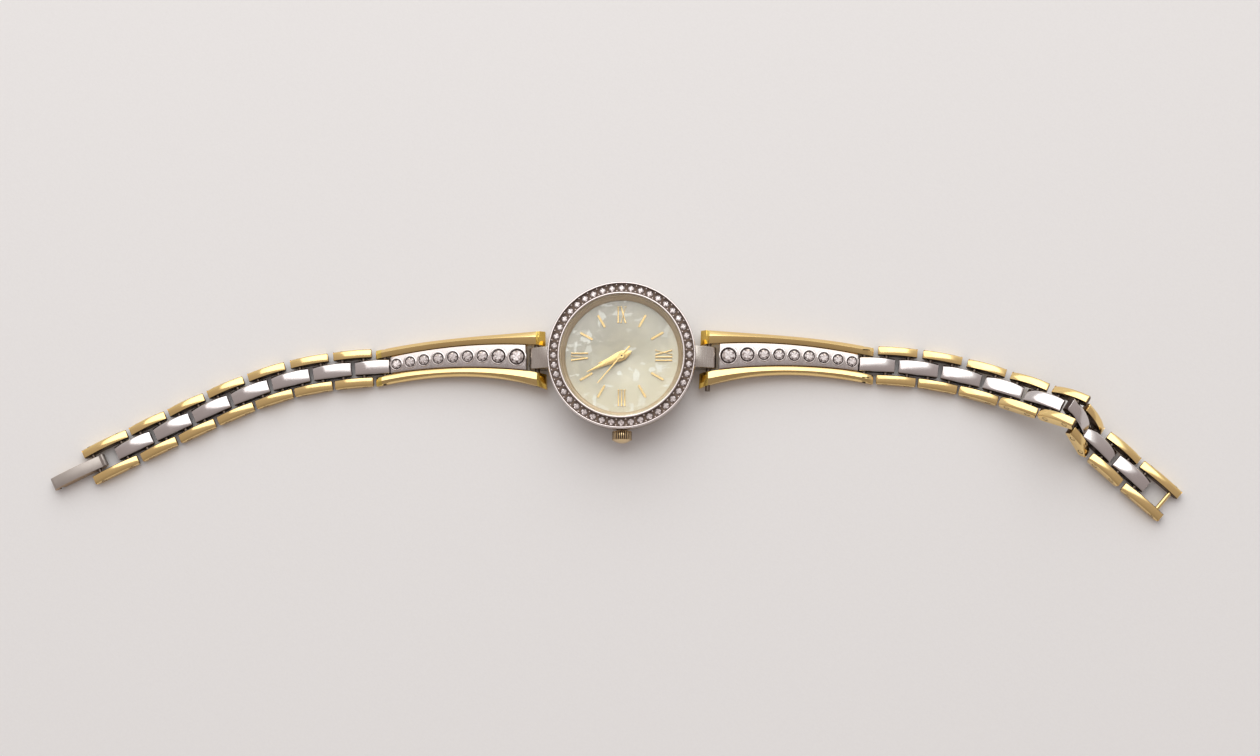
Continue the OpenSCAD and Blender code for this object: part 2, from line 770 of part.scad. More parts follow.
// Side view of a link of span l: round about both pins, flat below and crowned above
module link_side(l, w, inner_r = link_end_r) {
    intersection() {
        union() {
            cross_cylinder(0, 0, inner_r, w);
            cross_cylinder(l, 0, link_end_r, w);
            translate([0, -w / 2, -link_end_r]) cube([l, w, 2 * link_end_r]);
        }
        translate([-link_end_r - 1, -w / 2, -link_half]) cube([l + 2 * link_end_r + 2, w, link_t]);
        cross_cylinder(l / 2, link_half - crown_R * l / pitch, crown_R * l / pitch, w);
    }
}

module link_bore(x) {
    chamfer = 0.15;
    r = pin_d / 2 + pin_gap;
    cross_cylinder(x, 0, r, centre_w + 1);
    for (hand = [-1, 1]) translate([x, hand * (centre_w / 2 + eps), 0]) rotate([hand * 90, 0, 0])
        cylinder(r1 = r + chamfer + eps, r2 = r, h = chamfer + eps);
}

// Steel centre link, with long bevels down both sides of its top
module centre_link(side, n) {
    k = 2 * n - 1;
    bevel = 0.3;
    color("#cfcac6")
        at_link(side, k) difference() {
            link_side(pitch, centre_w, n == 1 ? link_half : link_end_r);
            link_bore(0);
            link_bore(pitch);
            for (hand = [-1, 1])
                translate([pitch / 2, hand * (centre_w / 2 - bevel), link_half]) rotate([-hand * 28, 0, 0])
                    translate([-pitch, hand > 0 ? 0 : -2, 0]) cube([2 * pitch, 2, 1]);
        }
}

// Gold outer link: two bars and the pins pressed in them
module outer_link(side, n, l, pins) {
    k = 2 * n;
    bevel = 0.35;
    at_link(side, k) {
        color("#e2c069") for (hand = [-1, 1]) difference() {
            translate([0, hand * (outer_w - bar_w) / 2, 0]) link_side(l, bar_w);
            for (x = [0, l]) cross_cylinder(x, 0, pin_d / 2 + eps, outer_w + 2);
            // Bevel along the outer top edge
            translate([l / 2, hand * (outer_w / 2 - bevel), link_half]) rotate([-hand * 32, 0, 0])
                translate([-l, hand > 0 ? 0 : -2, 0]) cube([2 * l, 2, 1]);
            // Hollow of the folded sheet, open below
            translate([pin_d / 2 + 0.45, hand * (outer_w - bar_w) / 2 - bar_w / 4, -link_half - 1])
                cube([l - pin_d - 0.9, bar_w / 2, 1.9]);
        }
        color("#8f8a80") for (x = pins) cross_cylinder(x, 0, pin_d / 2, outer_w - 0.3);
    }
}

// Clasp: a channel of bent sheet, open below, that turns on the pin of the long link
module clasp() {
    end_r = 0.8;
    floor_t = 0.3;
    hook_x = clasp_l - 1.1;
    crown_r = 24;
    inside = clasp_w - 2 * clasp_sheet;
    color("#cdc9c4")
        at_link(LEFT, len(LEFT_LAY) - 1) difference() {
            // Side view: round at both ends and slightly crowned above
            intersection() {
                union() {
                    translate([end_r - clasp_tail - 0.2, -clasp_w / 2, -link_half])
                        cube([clasp_l + clasp_tail - 2 * end_r + 0.4, clasp_w, link_t - 0.1]);
                    for (x = [end_r - clasp_tail, clasp_l - end_r]) cross_cylinder(x, 0, end_r, clasp_w);
                }
                cross_cylinder(clasp_l / 2, link_half - crown_r, crown_r, clasp_w);
            }
            translate([floor_t - clasp_tail, -inside / 2, -link_half - 1])
                cube([clasp_l + clasp_tail - 2 * floor_t, inside, link_t + 0.9 - clasp_sheet]);
            cross_cylinder(0, 0, pin_d / 2 + pin_gap, clasp_w + 2);
            // Open notch that snaps over the catch bar
            cross_cylinder(hook_x, -0.25, pin_d / 2 + 0.03, clasp_w + 2);
            translate([hook_x - pin_d / 2 + 0.07, -clasp_w, -link_half - 1])
                cube([pin_d - 0.14, 2 * clasp_w, link_half + 0.75]);
        }
}

case_body();
case_back();
back_gasket();
bezel();
bezel_stones();
crystal_glass();
rehaut_ring();
dial();
hour_markers();
movement_plate();
train_bridge();
battery_cell();
drive_coil();
movement_holder();
stem_tube();
setting_lever();
stem();
crown();
hour_hand();
minute_hand();
seconds_hand();
end_frame(LEFT);  // end_frame_left
end_frame(RIGHT);  // end_frame_right
stone_plate(LEFT);  // stone_plate_left
stone_plate(RIGHT);  // stone_plate_right
plate_stones(LEFT);  // plate_stones_left
plate_stones(RIGHT);  // plate_stones_right
lug_pin(LEFT, 0);  // lug_pin_left
lug_pin(RIGHT, pin_proud);  // lug_pin_right
clasp();
for (i = [1 : LINKS_LEFT]) {
    l = i == LINKS_LEFT ? clasp_link_l : pitch;
    centre_link(LEFT, i);
    outer_link(LEFT, i, l, [0, l]);
}
for (i = [1 : LINKS_RIGHT]) {
    l = i == LINKS_RIGHT ? catch_link_l : pitch;
    centre_link(RIGHT, i);
    outer_link(RIGHT, i, l, [0, l]);
}
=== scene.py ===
"""Dressed model of a ladies' two-tone bracelet watch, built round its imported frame.

Sizes are in millimetres in the classes and become metres as each piece is placed.
"""

import logging
import math
import random
from collections.abc import Callable, Iterable, Sequence
from dataclasses import dataclass, field
from enum import Enum
from typing import Any

import bmesh
import bpy
from mathutils import Matrix, Vector


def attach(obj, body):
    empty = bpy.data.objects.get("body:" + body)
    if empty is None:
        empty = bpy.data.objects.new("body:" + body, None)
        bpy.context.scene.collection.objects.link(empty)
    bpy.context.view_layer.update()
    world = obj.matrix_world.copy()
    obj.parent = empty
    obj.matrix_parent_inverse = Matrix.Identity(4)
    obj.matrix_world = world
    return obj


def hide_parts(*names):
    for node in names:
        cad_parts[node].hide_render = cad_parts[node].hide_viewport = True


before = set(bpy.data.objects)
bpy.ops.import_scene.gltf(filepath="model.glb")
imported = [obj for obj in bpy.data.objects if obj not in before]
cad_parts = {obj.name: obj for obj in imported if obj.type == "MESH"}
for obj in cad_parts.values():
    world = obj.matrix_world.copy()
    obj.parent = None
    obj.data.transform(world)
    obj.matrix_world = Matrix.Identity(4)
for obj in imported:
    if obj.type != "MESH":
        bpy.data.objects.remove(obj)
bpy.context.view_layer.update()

MM = 0.001
NOISE_ROUGHNESS = 0.55
# Chamfer of a cutting rod, and the radius below which a profile's point lies on the axis
CUT_EASE = 0.01
ON_AXIS = 1e-6
# Shares of a stone's size: the depth of its seat, and how far its girdle lies below the metal
SEAT_DEPTH = 0.34
GIRDLE_SINK = 0.04
Point2 = tuple[float, float]
Point3 = tuple[float, float, float]
Colour = tuple[float, float, float]
Loop = Sequence[bmesh.types.BMVert]
Wave = Callable[[float, float, float], float]
log = logging.getLogger("dress_watch")


# Shader maths


class Value:
    """A shader socket that takes part in Python arithmetic."""

    def __init__(self, shader: "Shader", socket: bpy.types.NodeSocket) -> None:
        """Keep the socket and the shader that it belongs to."""
        self.shader = shader
        self.socket = socket

    def __add__(self, other: "Number") -> "Value":
        """Sum of two values."""
        return self.shader.math("ADD", self, other)

    def __sub__(self, other: "Number") -> "Value":
        """Difference of two values."""
        return self.shader.math("SUBTRACT", self, other)

    def __rsub__(self, other: "Number") -> "Value":
        """Difference with the socket on the right."""
        return self.shader.math("SUBTRACT", other, self)

    def __mul__(self, other: "Number") -> "Value":
        """Product of two values."""
        return self.shader.math("MULTIPLY", self, other)


Number = Value | float


class NodeGraph:
    """A node tree whose nodes are added with their settings and inputs in one call."""

    tree: bpy.types.NodeTree

    def node(self, kind: str, settings: dict[str, Any] | None = None, **sockets: Any) -> bpy.types.Node:
        """Add a node.

        Args:
            kind: The node's type.
            settings: Properties that are set first, such as a Math node's operation.
            **sockets: Values or links of its inputs, by name with _ for a space, or by number, as at0.

        Returns:
            The new node.
        """
        made = self.tree.nodes.new(kind)
        for key, value in (settings or {}).items():
            if key == "stops":
                ramp = made.color_ramp
                while len(ramp.elements) < len(value):
                    ramp.elements.new(1.0)
                for element, (at, colour) in zip(ramp.elements, value):
                    element.position = at
                    element.color = (*colour, 1.0)
            else:
                setattr(made, key, value)
        for key, value in sockets.items():
            name = key.replace("_", " ")
            places = [s for s in made.inputs if s.name == name and s.enabled]
            if key.startswith("at"):
                places = [made.inputs[int(key[2:])]]
            self.feed(places[0], value)
        return made

    def feed(self, place: bpy.types.NodeSocket, value: Any) -> None:
        """Link or set one input.

        Args:
            place: The input socket.
            value: A Value, an output socket or a plain value.
        """
        if isinstance(value, Value):
            self.tree.links.new(value.socket, place)
        elif isinstance(value, bpy.types.NodeSocket):
            self.tree.links.new(value, place)
        elif place.type == "RGBA" and len(value) == 3:
            place.default_value = (*value, 1.0)
        else:
            place.default_value = value

    def out(self, kind: str, settings: dict[str, Any] | None = None, **sockets: Any) -> bpy.types.NodeSocket:
        """Add a node and return its first output."""
        return self.node(kind, settings, **sockets).outputs[0]


class Shader(NodeGraph):
    """A material's node tree, written as expressions."""

    def __init__(self, name: str, block: Any = None) -> None:
        """Start an empty tree.

        Args:
            name: The material's name.
            block: The block whose tree it is, when that isn't a new material.
        """
        self.block = block or bpy.data.materials.new(name)
        self.block.use_nodes = True
        self.tree = self.block.node_tree
        self.tree.nodes.clear()

    def value(self, kind: str, settings: dict[str, Any] | None = None, **sockets: Any) -> Value:
        """Add a node and return its first output as a value."""
        return Value(self, self.out(kind, settings, **sockets))

    def math(self, operation: str, *values: Number, clamp: bool = False) -> Value:
        """One Math node.

        Args:
            operation: The operation's name.
            *values: Its one, two or three operands.
            clamp: Whether the result is held between 0 and 1.

        Returns:
            The result.
        """
        sockets = {f"at{i}": value for i, value in enumerate(values)}
        settings = {"operation": operation, "use_clamp": clamp}
        return self.value("ShaderNodeMath", settings, **sockets)

    def step(self, value: Number, low: float, high: float) -> Value:
        """A smooth step of a value from 0 at low to 1 at high."""
        settings = {"interpolation_type": "SMOOTHSTEP"}
        return self.value("ShaderNodeMapRange", settings, Value=value, From_Min=low, From_Max=high)

    def vector(self, operation: str, a: Any, b: Any) -> Value:
        """One Vector Math node on two vectors."""
        return self.value("ShaderNodeVectorMath", {"operation": operation}, at0=a, at1=b)

    def dot(self, a: Any, b: Any) -> Value:
        """The dot product of two vectors."""
        made = self.node("ShaderNodeVectorMath", {"operation": "DOT_PRODUCT"}, at0=a, at1=b)
        return Value(self, made.outputs[1])

    def mix(self, share: Number, a: Any, b: Any) -> Value:
        """A mix of two colours, a at share 0 and b at share 1."""
        made = self.node("ShaderNodeMix", {"data_type": "RGBA"})
        self.feed(made.inputs["Factor"], share)
        self.feed([s for s in made.inputs if s.name == "A" and s.type == "RGBA"][0], a)
        self.feed([s for s in made.inputs if s.name == "B" and s.type == "RGBA"][0], b)
        return Value(self, [s for s in made.outputs if s.type == "RGBA"][0])

    def ramp(self, value: Number, stops: Sequence[tuple[float, Colour]]) -> Value:
        """A colour ramp over a value."""
        return self.value("ShaderNodeValToRGB", {"stops": stops}, Fac=value)

    def noise(self, where: Any, scale: float, detail: float = 2.0, twist: float = 0.0) -> Value:
        """Noise between 0 and 1."""
        sockets = {"Scale": scale, "Detail": detail, "Roughness": NOISE_ROUGHNESS, "Distortion": twist}
        return self.value("ShaderNodeTexNoise", Vector=where, **sockets)

    def cells(self, where: Any, scale: float, feature: str = "F1") -> bpy.types.Node:
        """A Voronoi texture's node."""
        return self.node("ShaderNodeTexVoronoi", {"feature": feature}, Vector=where, Scale=scale)

    def attribute(self, name: str) -> bpy.types.Node:
        """An Attribute node that reads what the mesh carries under a name."""
        return self.node("ShaderNodeAttribute", {"attribute_name": name})

    def parts(self, where: Value) -> list[Value]:
        """The three parts of a vector."""
        made = self.node("ShaderNodeSeparateXYZ", Vector=where)
        return [Value(self, socket) for socket in made.outputs]

    def joined(self, x: Number, y: Number, z: Number) -> Value:
        """A vector of three parts."""
        return self.value("ShaderNodeCombineXYZ", X=x, Y=y, Z=z)

    def place(self) -> Value:
        """Place in the watch's frame, in millimetres."""
        read = self.node("ShaderNodeTexCoord").outputs["Object"]
        return self.vector("MULTIPLY", read, (1 / MM, 1 / MM, 1 / MM))

    def own_place(self) -> Value:
        """Place in the piece's own frame, in millimetres, from its attribute."""
        return Value(self, self.attribute("own").outputs["Vector"])

    def bump(self, height: Number, depth: float) -> Value:
        """A bump of a height between 0 and 1 that stands for depth in millimetres."""
        return self.value("ShaderNodeBump", Height=height, Strength=1.0, Distance=depth * MM)

    def surface(self, shader: bpy.types.NodeSocket) -> bpy.types.Material:
        """Join a shader to the output and return the material."""
        self.node("ShaderNodeOutputMaterial", Surface=shader)
        return self.block

    def principled(self, **sockets: Any) -> bpy.types.NodeSocket:
        """A Principled shader with these sockets."""
        return self.out("ShaderNodeBsdfPrincipled", **sockets)

    def coat(self, **sockets: Any) -> bpy.types.Material:
        """Join a Principled shader with these sockets to the output."""
        return self.surface(self.principled(**sockets))


# Finishes


class Grain(Enum):
    """Which way a metal was brushed."""

    ALONG = "along the piece's own x"
    ACROSS = "along the piece's own y"
    ROUND = "in circles round the dial's centre"
    TURNED = "round the piece's own y, as on a lathe"


GRAIN_LINES: dict[Grain, Point3] = {
    Grain.ALONG: (0.35, 22.0, 22.0),
    Grain.ACROSS: (14.0, 0.35, 14.0),
    Grain.TURNED: (0.6, 18.0, 0.6),
}


@dataclass(frozen=True)
class MetalFinish:
    """A worked metal: its colour, its gloss and the lines that polishing left."""

    name: str
    colour: Colour
    shade: Colour
    roughness: float
    grain: Grain
    streak: float = 0.12
    depth: float = 0.002
    wear: float = 0.5

    def lines(self, s: Shader, place: Value) -> Value:
        """Where the noise of the brushed lines is read, drawn out along the lines."""
        if self.grain is not Grain.ROUND:
            return s.vector("MULTIPLY", s.own_place(), GRAIN_LINES[self.grain])
        x, y, z = s.parts(place)
        radius = s.math("SQRT", x * x + y * y)
        return s.joined(radius * 16.0, s.math("ARCTAN2", y, x) * 1.3, z * 16.0)

    def material(self) -> bpy.types.Material:
        """Build the node tree of this metal."""
        s = Shader(self.name)
        place = s.place()
        fine = s.noise(self.lines(s, place), 1.0, 3.0)
        broad = s.noise(place, 0.22, 2.0)
        patch = s.noise(place, 1.3, 4.0, 0.6)
        scratch = s.step(s.noise(s.vector("MULTIPLY", place, (1.1, 9.0, 5.0)), 1.0, 1.0, 1.5), 0.71, 0.78)
        tone = s.math("ADD", (fine - 0.5) * self.streak * 2.0 + (broad - 0.5) * 0.7, 0.62, clamp=True)
        colour = s.mix(tone, self.shade, self.colour)
        colour = s.mix(s.step(patch, 0.66, 0.82) * (0.35 * self.wear), colour, self.shade)
        rough = (fine - 0.5) * self.streak + (patch - 0.5) * (0.14 * self.wear) + self.roughness
        rough = s.math("ADD", rough, scratch * (0.1 * self.wear), clamp=True)
        normal = s.bump(fine + scratch * (0.4 * self.wear), self.depth)
        return s.coat(Base_Color=colour, Metallic=1.0, Roughness=rough, Normal=normal)


@dataclass(frozen=True)
class StoneFinish:
    """A foiled crystal with light and dark painted on its facets as their reflections."""

    name: str
    bright: Colour = (0.74, 0.65, 0.63)
    dark: Colour = (0.09, 0.055, 0.05)

    def material(self) -> bpy.types.Material:
        """Build the node tree of this stone."""
        s = Shader(self.name)
        # Each facet's tone and the flicker are painted reflections: the light and dark that the facets would
        # throw back.
        tone = Value(s, s.attribute("facet").outputs["Fac"])
        flicker = s.noise(s.place(), 1.9, 1.0)
        middle = tuple(0.45 * a + 0.55 * b for a, b in zip(self.bright, self.dark))
        colour = s.ramp(
            s.math("ADD", tone, (flicker - 0.5) * 0.6, clamp=True),
            [(0.0, self.dark), (0.38, middle), (0.62, self.bright), (1.0, (0.95, 0.90, 0.89))],
        )
        metal = s.step(tone, 0.2, 0.9) * 0.25 + 0.15
        return s.coat(
            Base_Color=colour, Metallic=metal, Roughness=0.07, IOR=1.55, Coat_Weight=0.7, Coat_Roughness=0.02
        )


@dataclass(frozen=True)
class NacreFinish:
    """Mother-of-pearl under clear lacquer, with pale flakes and painted shade towards +y and -x."""

    name: str
    cream: Colour = (0.70, 0.64, 0.475)
    grey: Colour = (0.40, 0.365, 0.29)
    flake_and_glint: Colour = (0.90, 0.90, 0.84)

    def material(self) -> bpy.types.Material:
        """Build the node tree of this dial."""
        s = Shader(self.name)
        place = s.place()
        x, y, _ = s.parts(place)
        cloud = s.noise(place, 0.2, 3.0, 0.8)
        # Painted shade: the dial is darker towards +y and towards -x.
        lean = (x * 0.45 - y) * 0.055 + 0.5
        base = s.mix(s.step(cloud * 0.55 + lean * 0.6, 0.3, 0.85), self.grey, self.cream)
        drift = s.node("ShaderNodeTexNoise", Vector=place, Scale=0.7).outputs[1]
        bent = s.vector("ADD", place, drift)
        # Pale flakes: the nacre's own pattern, partly painted glints.
        for scale, stretch, rare in ((1.05, (1.0, 0.4, 1.0), 0.86), (1.6, (0.35, 1.0, 1.0), 0.88)):
            where = s.vector("MULTIPLY", bent, stretch)
            pick = Value(s, s.cells(where, scale).outputs["Color"])
            edge = Value(s, s.cells(where, scale, "DISTANCE_TO_EDGE").outputs["Distance"])
            lit = s.step(s.parts(pick)[0], rare, 1.0) * s.step(edge, 0.0, 0.16)
            base = s.mix(lit * 0.6, base, self.flake_and_glint)
        pink = s.step(s.noise(place, 0.55, 2.0, 1.2), 0.52, 0.75)
        base = s.mix(pink * 0.16, base, (0.80, 0.72, 0.66))
        sheen = s.noise(s.vector("MULTIPLY", bent, (1.0, 2.6, 1.0)), 1.4, 3.0)
        return s.coat(
            Base_Color=base, Roughness=sheen * 0.22 + 0.2, Metallic=0.0, Coat_Weight=0.8, Coat_Roughness=0.06,
            Normal=s.bump(sheen, 0.01),
        )


@dataclass(frozen=True)
class GlassFinish:
    """Clear glass that casts almost no shadow."""

    name: str

    def material(self) -> bpy.types.Material:
        """Build the node tree of this glass."""
        s = Shader(self.name)
        glass = s.principled(
            Base_Color=(0.985, 0.995, 0.99), Roughness=0.0, IOR=1.33, Transmission_Weight=1.0
        )
        clear = s.out("ShaderNodeBsdfTransparent", Color=(0.96, 0.98, 0.97))
        path = s.node("ShaderNodeLightPath").outputs["Is Shadow Ray"]
        return s.surface(s.out("ShaderNodeMixShader", at0=path, at1=glass, at2=clear))


@dataclass(frozen=True)
class MouldedFinish:
    """Moulded plastic or rubber with a fine skin."""

    name: str
    colour: Colour
    shade: Colour
    roughness: float
    pore: float = 6.0

    def material(self) -> bpy.types.Material:
        """Build the node tree of this moulding."""
        s = Shader(self.name)
        place = s.place()
        skin = s.noise(place, self.pore, 4.0)
        cloud = s.noise(place, 0.5, 2.0)
        colour = s.mix(s.math("ADD", cloud * 0.7, skin * 0.3, clamp=True), self.shade, self.colour)
        rough = (skin - 0.5) * 0.2 + self.roughness
        return s.coat(Base_Color=colour, Roughness=rough, Normal=s.bump(skin, 0.01))


@dataclass(frozen=True)
class WindingFinish:
    """Enamelled copper wire wound side by side."""

    name: str
    axis: Point3

    def material(self) -> bpy.types.Material:
        """Build the node tree of this winding."""
        s = Shader(self.name)
        place = s.place()
        turn = s.math("SINE", s.dot(place, self.axis) * 60.0)
        # Dark stripes between the turns are painted shade between the wires.
        colour = s.mix(turn * 0.5 + 0.5, (0.30, 0.10, 0.03), (0.78, 0.36, 0.17))
        rough = s.noise(place, 3.0) * 0.2 + 0.25
        return s.coat(Base_Color=colour, Metallic=0.8, Roughness=rough, Normal=s.bump(turn * 0.5 + 0.5, 0.03))


GOLD: Colour = (0.96, 0.725, 0.34)
GOLD_SHADE: Colour = (0.82, 0.56, 0.22)
PALE_GOLD: Colour = (0.88, 0.66, 0.33)
STEEL: Colour = (0.71, 0.665, 0.65)
STEEL_SHADE: Colour = (0.56, 0.51, 0.50)

FINISHES: dict[str, Any] = {
    "gold": MetalFinish("gold_plate", GOLD, GOLD_SHADE, 0.15, Grain.ALONG, 0.08, 0.0015, 0.4),
    # Glossy bright-cut facets at the rails' ends, in a paler and more saturated gold that is a painted
    # highlight.
    "gold_cut_painted_highlight": MetalFinish("gold_cut_painted_highlight", (0.96, 0.76, 0.24), (0.88, 0.62, 0.12), 0.1, Grain.ACROSS, 0.05),
    # Near-black gold for the bars' inner faces and the lower parts of their ends: painted shade in the gaps
    # between the links.
    "gold_painted_gap_shade": MetalFinish(
        "gold_gaps_painted_shade", (0.15, 0.095, 0.05), (0.05, 0.03, 0.02), 0.4, Grain.ALONG
    ),
    "gold_fine": MetalFinish(
        "gold_fine", PALE_GOLD, (0.66, 0.48, 0.20), 0.26, Grain.ALONG, 0.06, 0.001, 0.2
    ),
    # The crown's gold, darker than the bracelet's plate: painted shade on the crown.
    "gold_crown_painted_shade": MetalFinish(
        "gold_crown_painted_shade", (0.80, 0.62, 0.38), (0.56, 0.40, 0.21), 0.2, Grain.TURNED, 0.08
    ),
    "marker": MetalFinish(
        "gold_marker", (0.74, 0.55, 0.27), (0.54, 0.38, 0.16), 0.24, Grain.ALONG, 0.06, 0.001, 0.2
    ),
    "hand": MetalFinish(
        "gold_hand", (0.86, 0.63, 0.28), (0.66, 0.46, 0.17), 0.2, Grain.ALONG, 0.06, 0.001, 0.2
    ),
    "rehaut": MetalFinish("gold_satin", (0.66, 0.52, 0.36), (0.50, 0.38, 0.24), 0.42, Grain.ROUND, 0.1),
    "steel": MetalFinish("steel_link", STEEL, STEEL_SHADE, 0.14, Grain.ALONG, 0.08, 0.0015, 0.4),
    "lug": MetalFinish(
        "steel_brushed", (0.67, 0.62, 0.57), (0.38, 0.34, 0.30), 0.24, Grain.ACROSS, 0.3, 0.006
    ),
    "clasp": MetalFinish(
        "steel_sheet", (0.50, 0.455, 0.42), (0.36, 0.32, 0.29), 0.44, Grain.ALONG, 0.22, 0.004
    ),
    "clasp_side": MetalFinish(
        "gold_sheet", (0.60, 0.42, 0.24), (0.40, 0.27, 0.15), 0.3, Grain.ALONG, 0.15
    ),
    # Steel of the case band and the bezel's outer wall, tinted warm: a painted reflection of the gold round
    # it.
    "case": MetalFinish(
        "steel_case", (0.72, 0.63, 0.54), (0.50, 0.41, 0.32), 0.14, Grain.ROUND, 0.08, 0.0015
    ),
    "back": MetalFinish(
        "steel_back", (0.64, 0.62, 0.60), (0.46, 0.44, 0.43), 0.26, Grain.ROUND, 0.24, 0.004
    ),
    "rim": MetalFinish(
        "steel_polished", (0.76, 0.70, 0.68), (0.60, 0.53, 0.51), 0.09, Grain.ROUND, 0.05, 0.001
    ),
    "bead": MetalFinish("steel_bead", (0.80, 0.73, 0.70), (0.60, 0.52, 0.49), 0.25, Grain.ROUND, 0.1),
    # Near-black steel for the stone channel's walls and floor: painted shade between the stones.
    "channel": MetalFinish(
        "steel_channel_painted_shade", (0.17, 0.125, 0.10), (0.07, 0.048, 0.038), 0.4, Grain.ROUND, 0.2
    ),
    "seat": MetalFinish(
        "steel_seat", (0.62, 0.575, 0.56), (0.40, 0.355, 0.34), 0.22, Grain.ALONG, 0.12, 0.002
    ),
    "plate": MetalFinish(
        "steel_plate", (0.84, 0.79, 0.77), (0.64, 0.58, 0.56), 0.12, Grain.ALONG, 0.06, 0.001
    ),
    # Near-black steel for bore walls, stone seats, the crown's flutes and the faces where links meet: partly
    # oxide in these hollows, mostly painted shade.
    "oxide_and_shade": MetalFinish(
        "steel_oxide_and_painted_shade", (0.08, 0.055, 0.05), (0.025, 0.018, 0.015), 0.4, Grain.ROUND, 0.2
    ),
    # Steel for pins, bore walls, the stem and the seconds cap, painted far darker than steel: painted shade
    # of the joints where the pins sit.
    "pin": MetalFinish("steel_pin_painted_shade", (0.17, 0.135, 0.11), (0.08, 0.06, 0.05), 0.34, Grain.TURNED, 0.15),
    "brass": MetalFinish(
        "brass_grained", (0.74, 0.60, 0.32), (0.52, 0.39, 0.18), 0.3, Grain.ROUND, 0.2, 0.004
    ),
    "stone": StoneFinish("crystal_pink_painted_sparkle"),
    "nacre": NacreFinish("nacre"),
    "glass": GlassFinish("mineral_glass"),
    "holder": MouldedFinish("holder_plastic", (0.80, 0.78, 0.72), (0.66, 0.63, 0.56), 0.5),
    "gasket": MouldedFinish("gasket_rubber", (0.05, 0.05, 0.05), (0.02, 0.02, 0.02), 0.6),
    "copper": WindingFinish("copper_winding", (0.883, -0.469, 0.0)),
}
_made: dict[str, bpy.types.Material] = {}


def finish(name: str) -> bpy.types.Material:
    """The material of a finish, built once.

    Args:
        name: A key of FINISHES.

    Returns:
        The Blender material.
    """
    if name not in _made:
        _made[name] = FINISHES[name].material()
    return _made[name]


# Shapes


def turn_of(a: Point2, b: Point2, c: Point2) -> float:
    """Turning angle at b on the way from a to c, positive to the left."""
    first = math.atan2(b[1] - a[1], b[0] - a[0])
    second = math.atan2(c[1] - b[1], c[0] - b[0])
    return (second - first + math.pi) % (2 * math.pi) - math.pi


def soften(corners: Sequence[Point2], radius: float, steps: int = 4, least: float = 0.3) -> list[Point2]:
    """Round the sharp corners of a closed outline.

    Args:
        corners: The outline's points.
        radius: Radius of the rounding.
        steps: Segments of each rounded corner.
        least: Turning angle below which a corner is left as it is.

    Returns:
        The outline with its rounded corners.
    """
    out: list[Point2] = []
    n = len(corners)
    for i, b in enumerate(corners):
        a, c = corners[i - 1], corners[(i + 1) % n]
        turn = turn_of(a, b, c)
        if abs(turn) < least:
            out.append(b)
            continue
        before, after = math.dist(a, b), math.dist(b, c)
        reach = min(radius * math.tan(abs(turn) / 2), 0.45 * before, 0.45 * after)
        start = [b[k] + (a[k] - b[k]) * reach / before for k in (0, 1)]
        end = [b[k] + (c[k] - b[k]) * reach / after for k in (0, 1)]
        for k in range(steps + 1):
            t = k / steps
            first, second, third = (1 - t) ** 2, 2 * t * (1 - t), t * t
            out.append(tuple(first * start[j] + second * b[j] + third * end[j] for j in (0, 1)))
    return out


def arc(angles: Iterable[float], radius: float, x: float = 0.0, z: float = 0.0, way: int = 1) -> list[Point2]:
    """Points at angles round a centre.

    Args:
        angles: The angles in radians.
        radius: The arc's radius.
        x: Its centre's x.
        z: Its centre's z.
        way: -1 for an arc that is mirrored in x.

    Returns:
        The points.
    """
    return [(x + way * radius * math.cos(a), z + radius * math.sin(a)) for a in angles]


def circle(radius: float, count: int, x: float = 0.0, z: float = 0.0) -> list[Point2]:
    """Points of a circle, anticlockwise."""
    return arc((2 * math.pi * i / count for i in range(count)), radius, x, z)


def turned(degrees: float, axis: str = "Z") -> Matrix:
    """A turn about an axis of the frame."""
    return Matrix.Rotation(math.radians(degrees), 4, axis)


@dataclass(frozen=True)
class Station:
    """One cut across a plate: its place, how far its outline is drawn in, and how far its top is lowered."""

    y: float
    inset: float = 0.0
    drop: float = 0.0


def mirrored(stations: Sequence[Station]) -> list[Station]:
    """The same cuts on the other side of the middle, in their order."""
    return [Station(-s.y, s.inset, s.drop) for s in reversed(stations)]


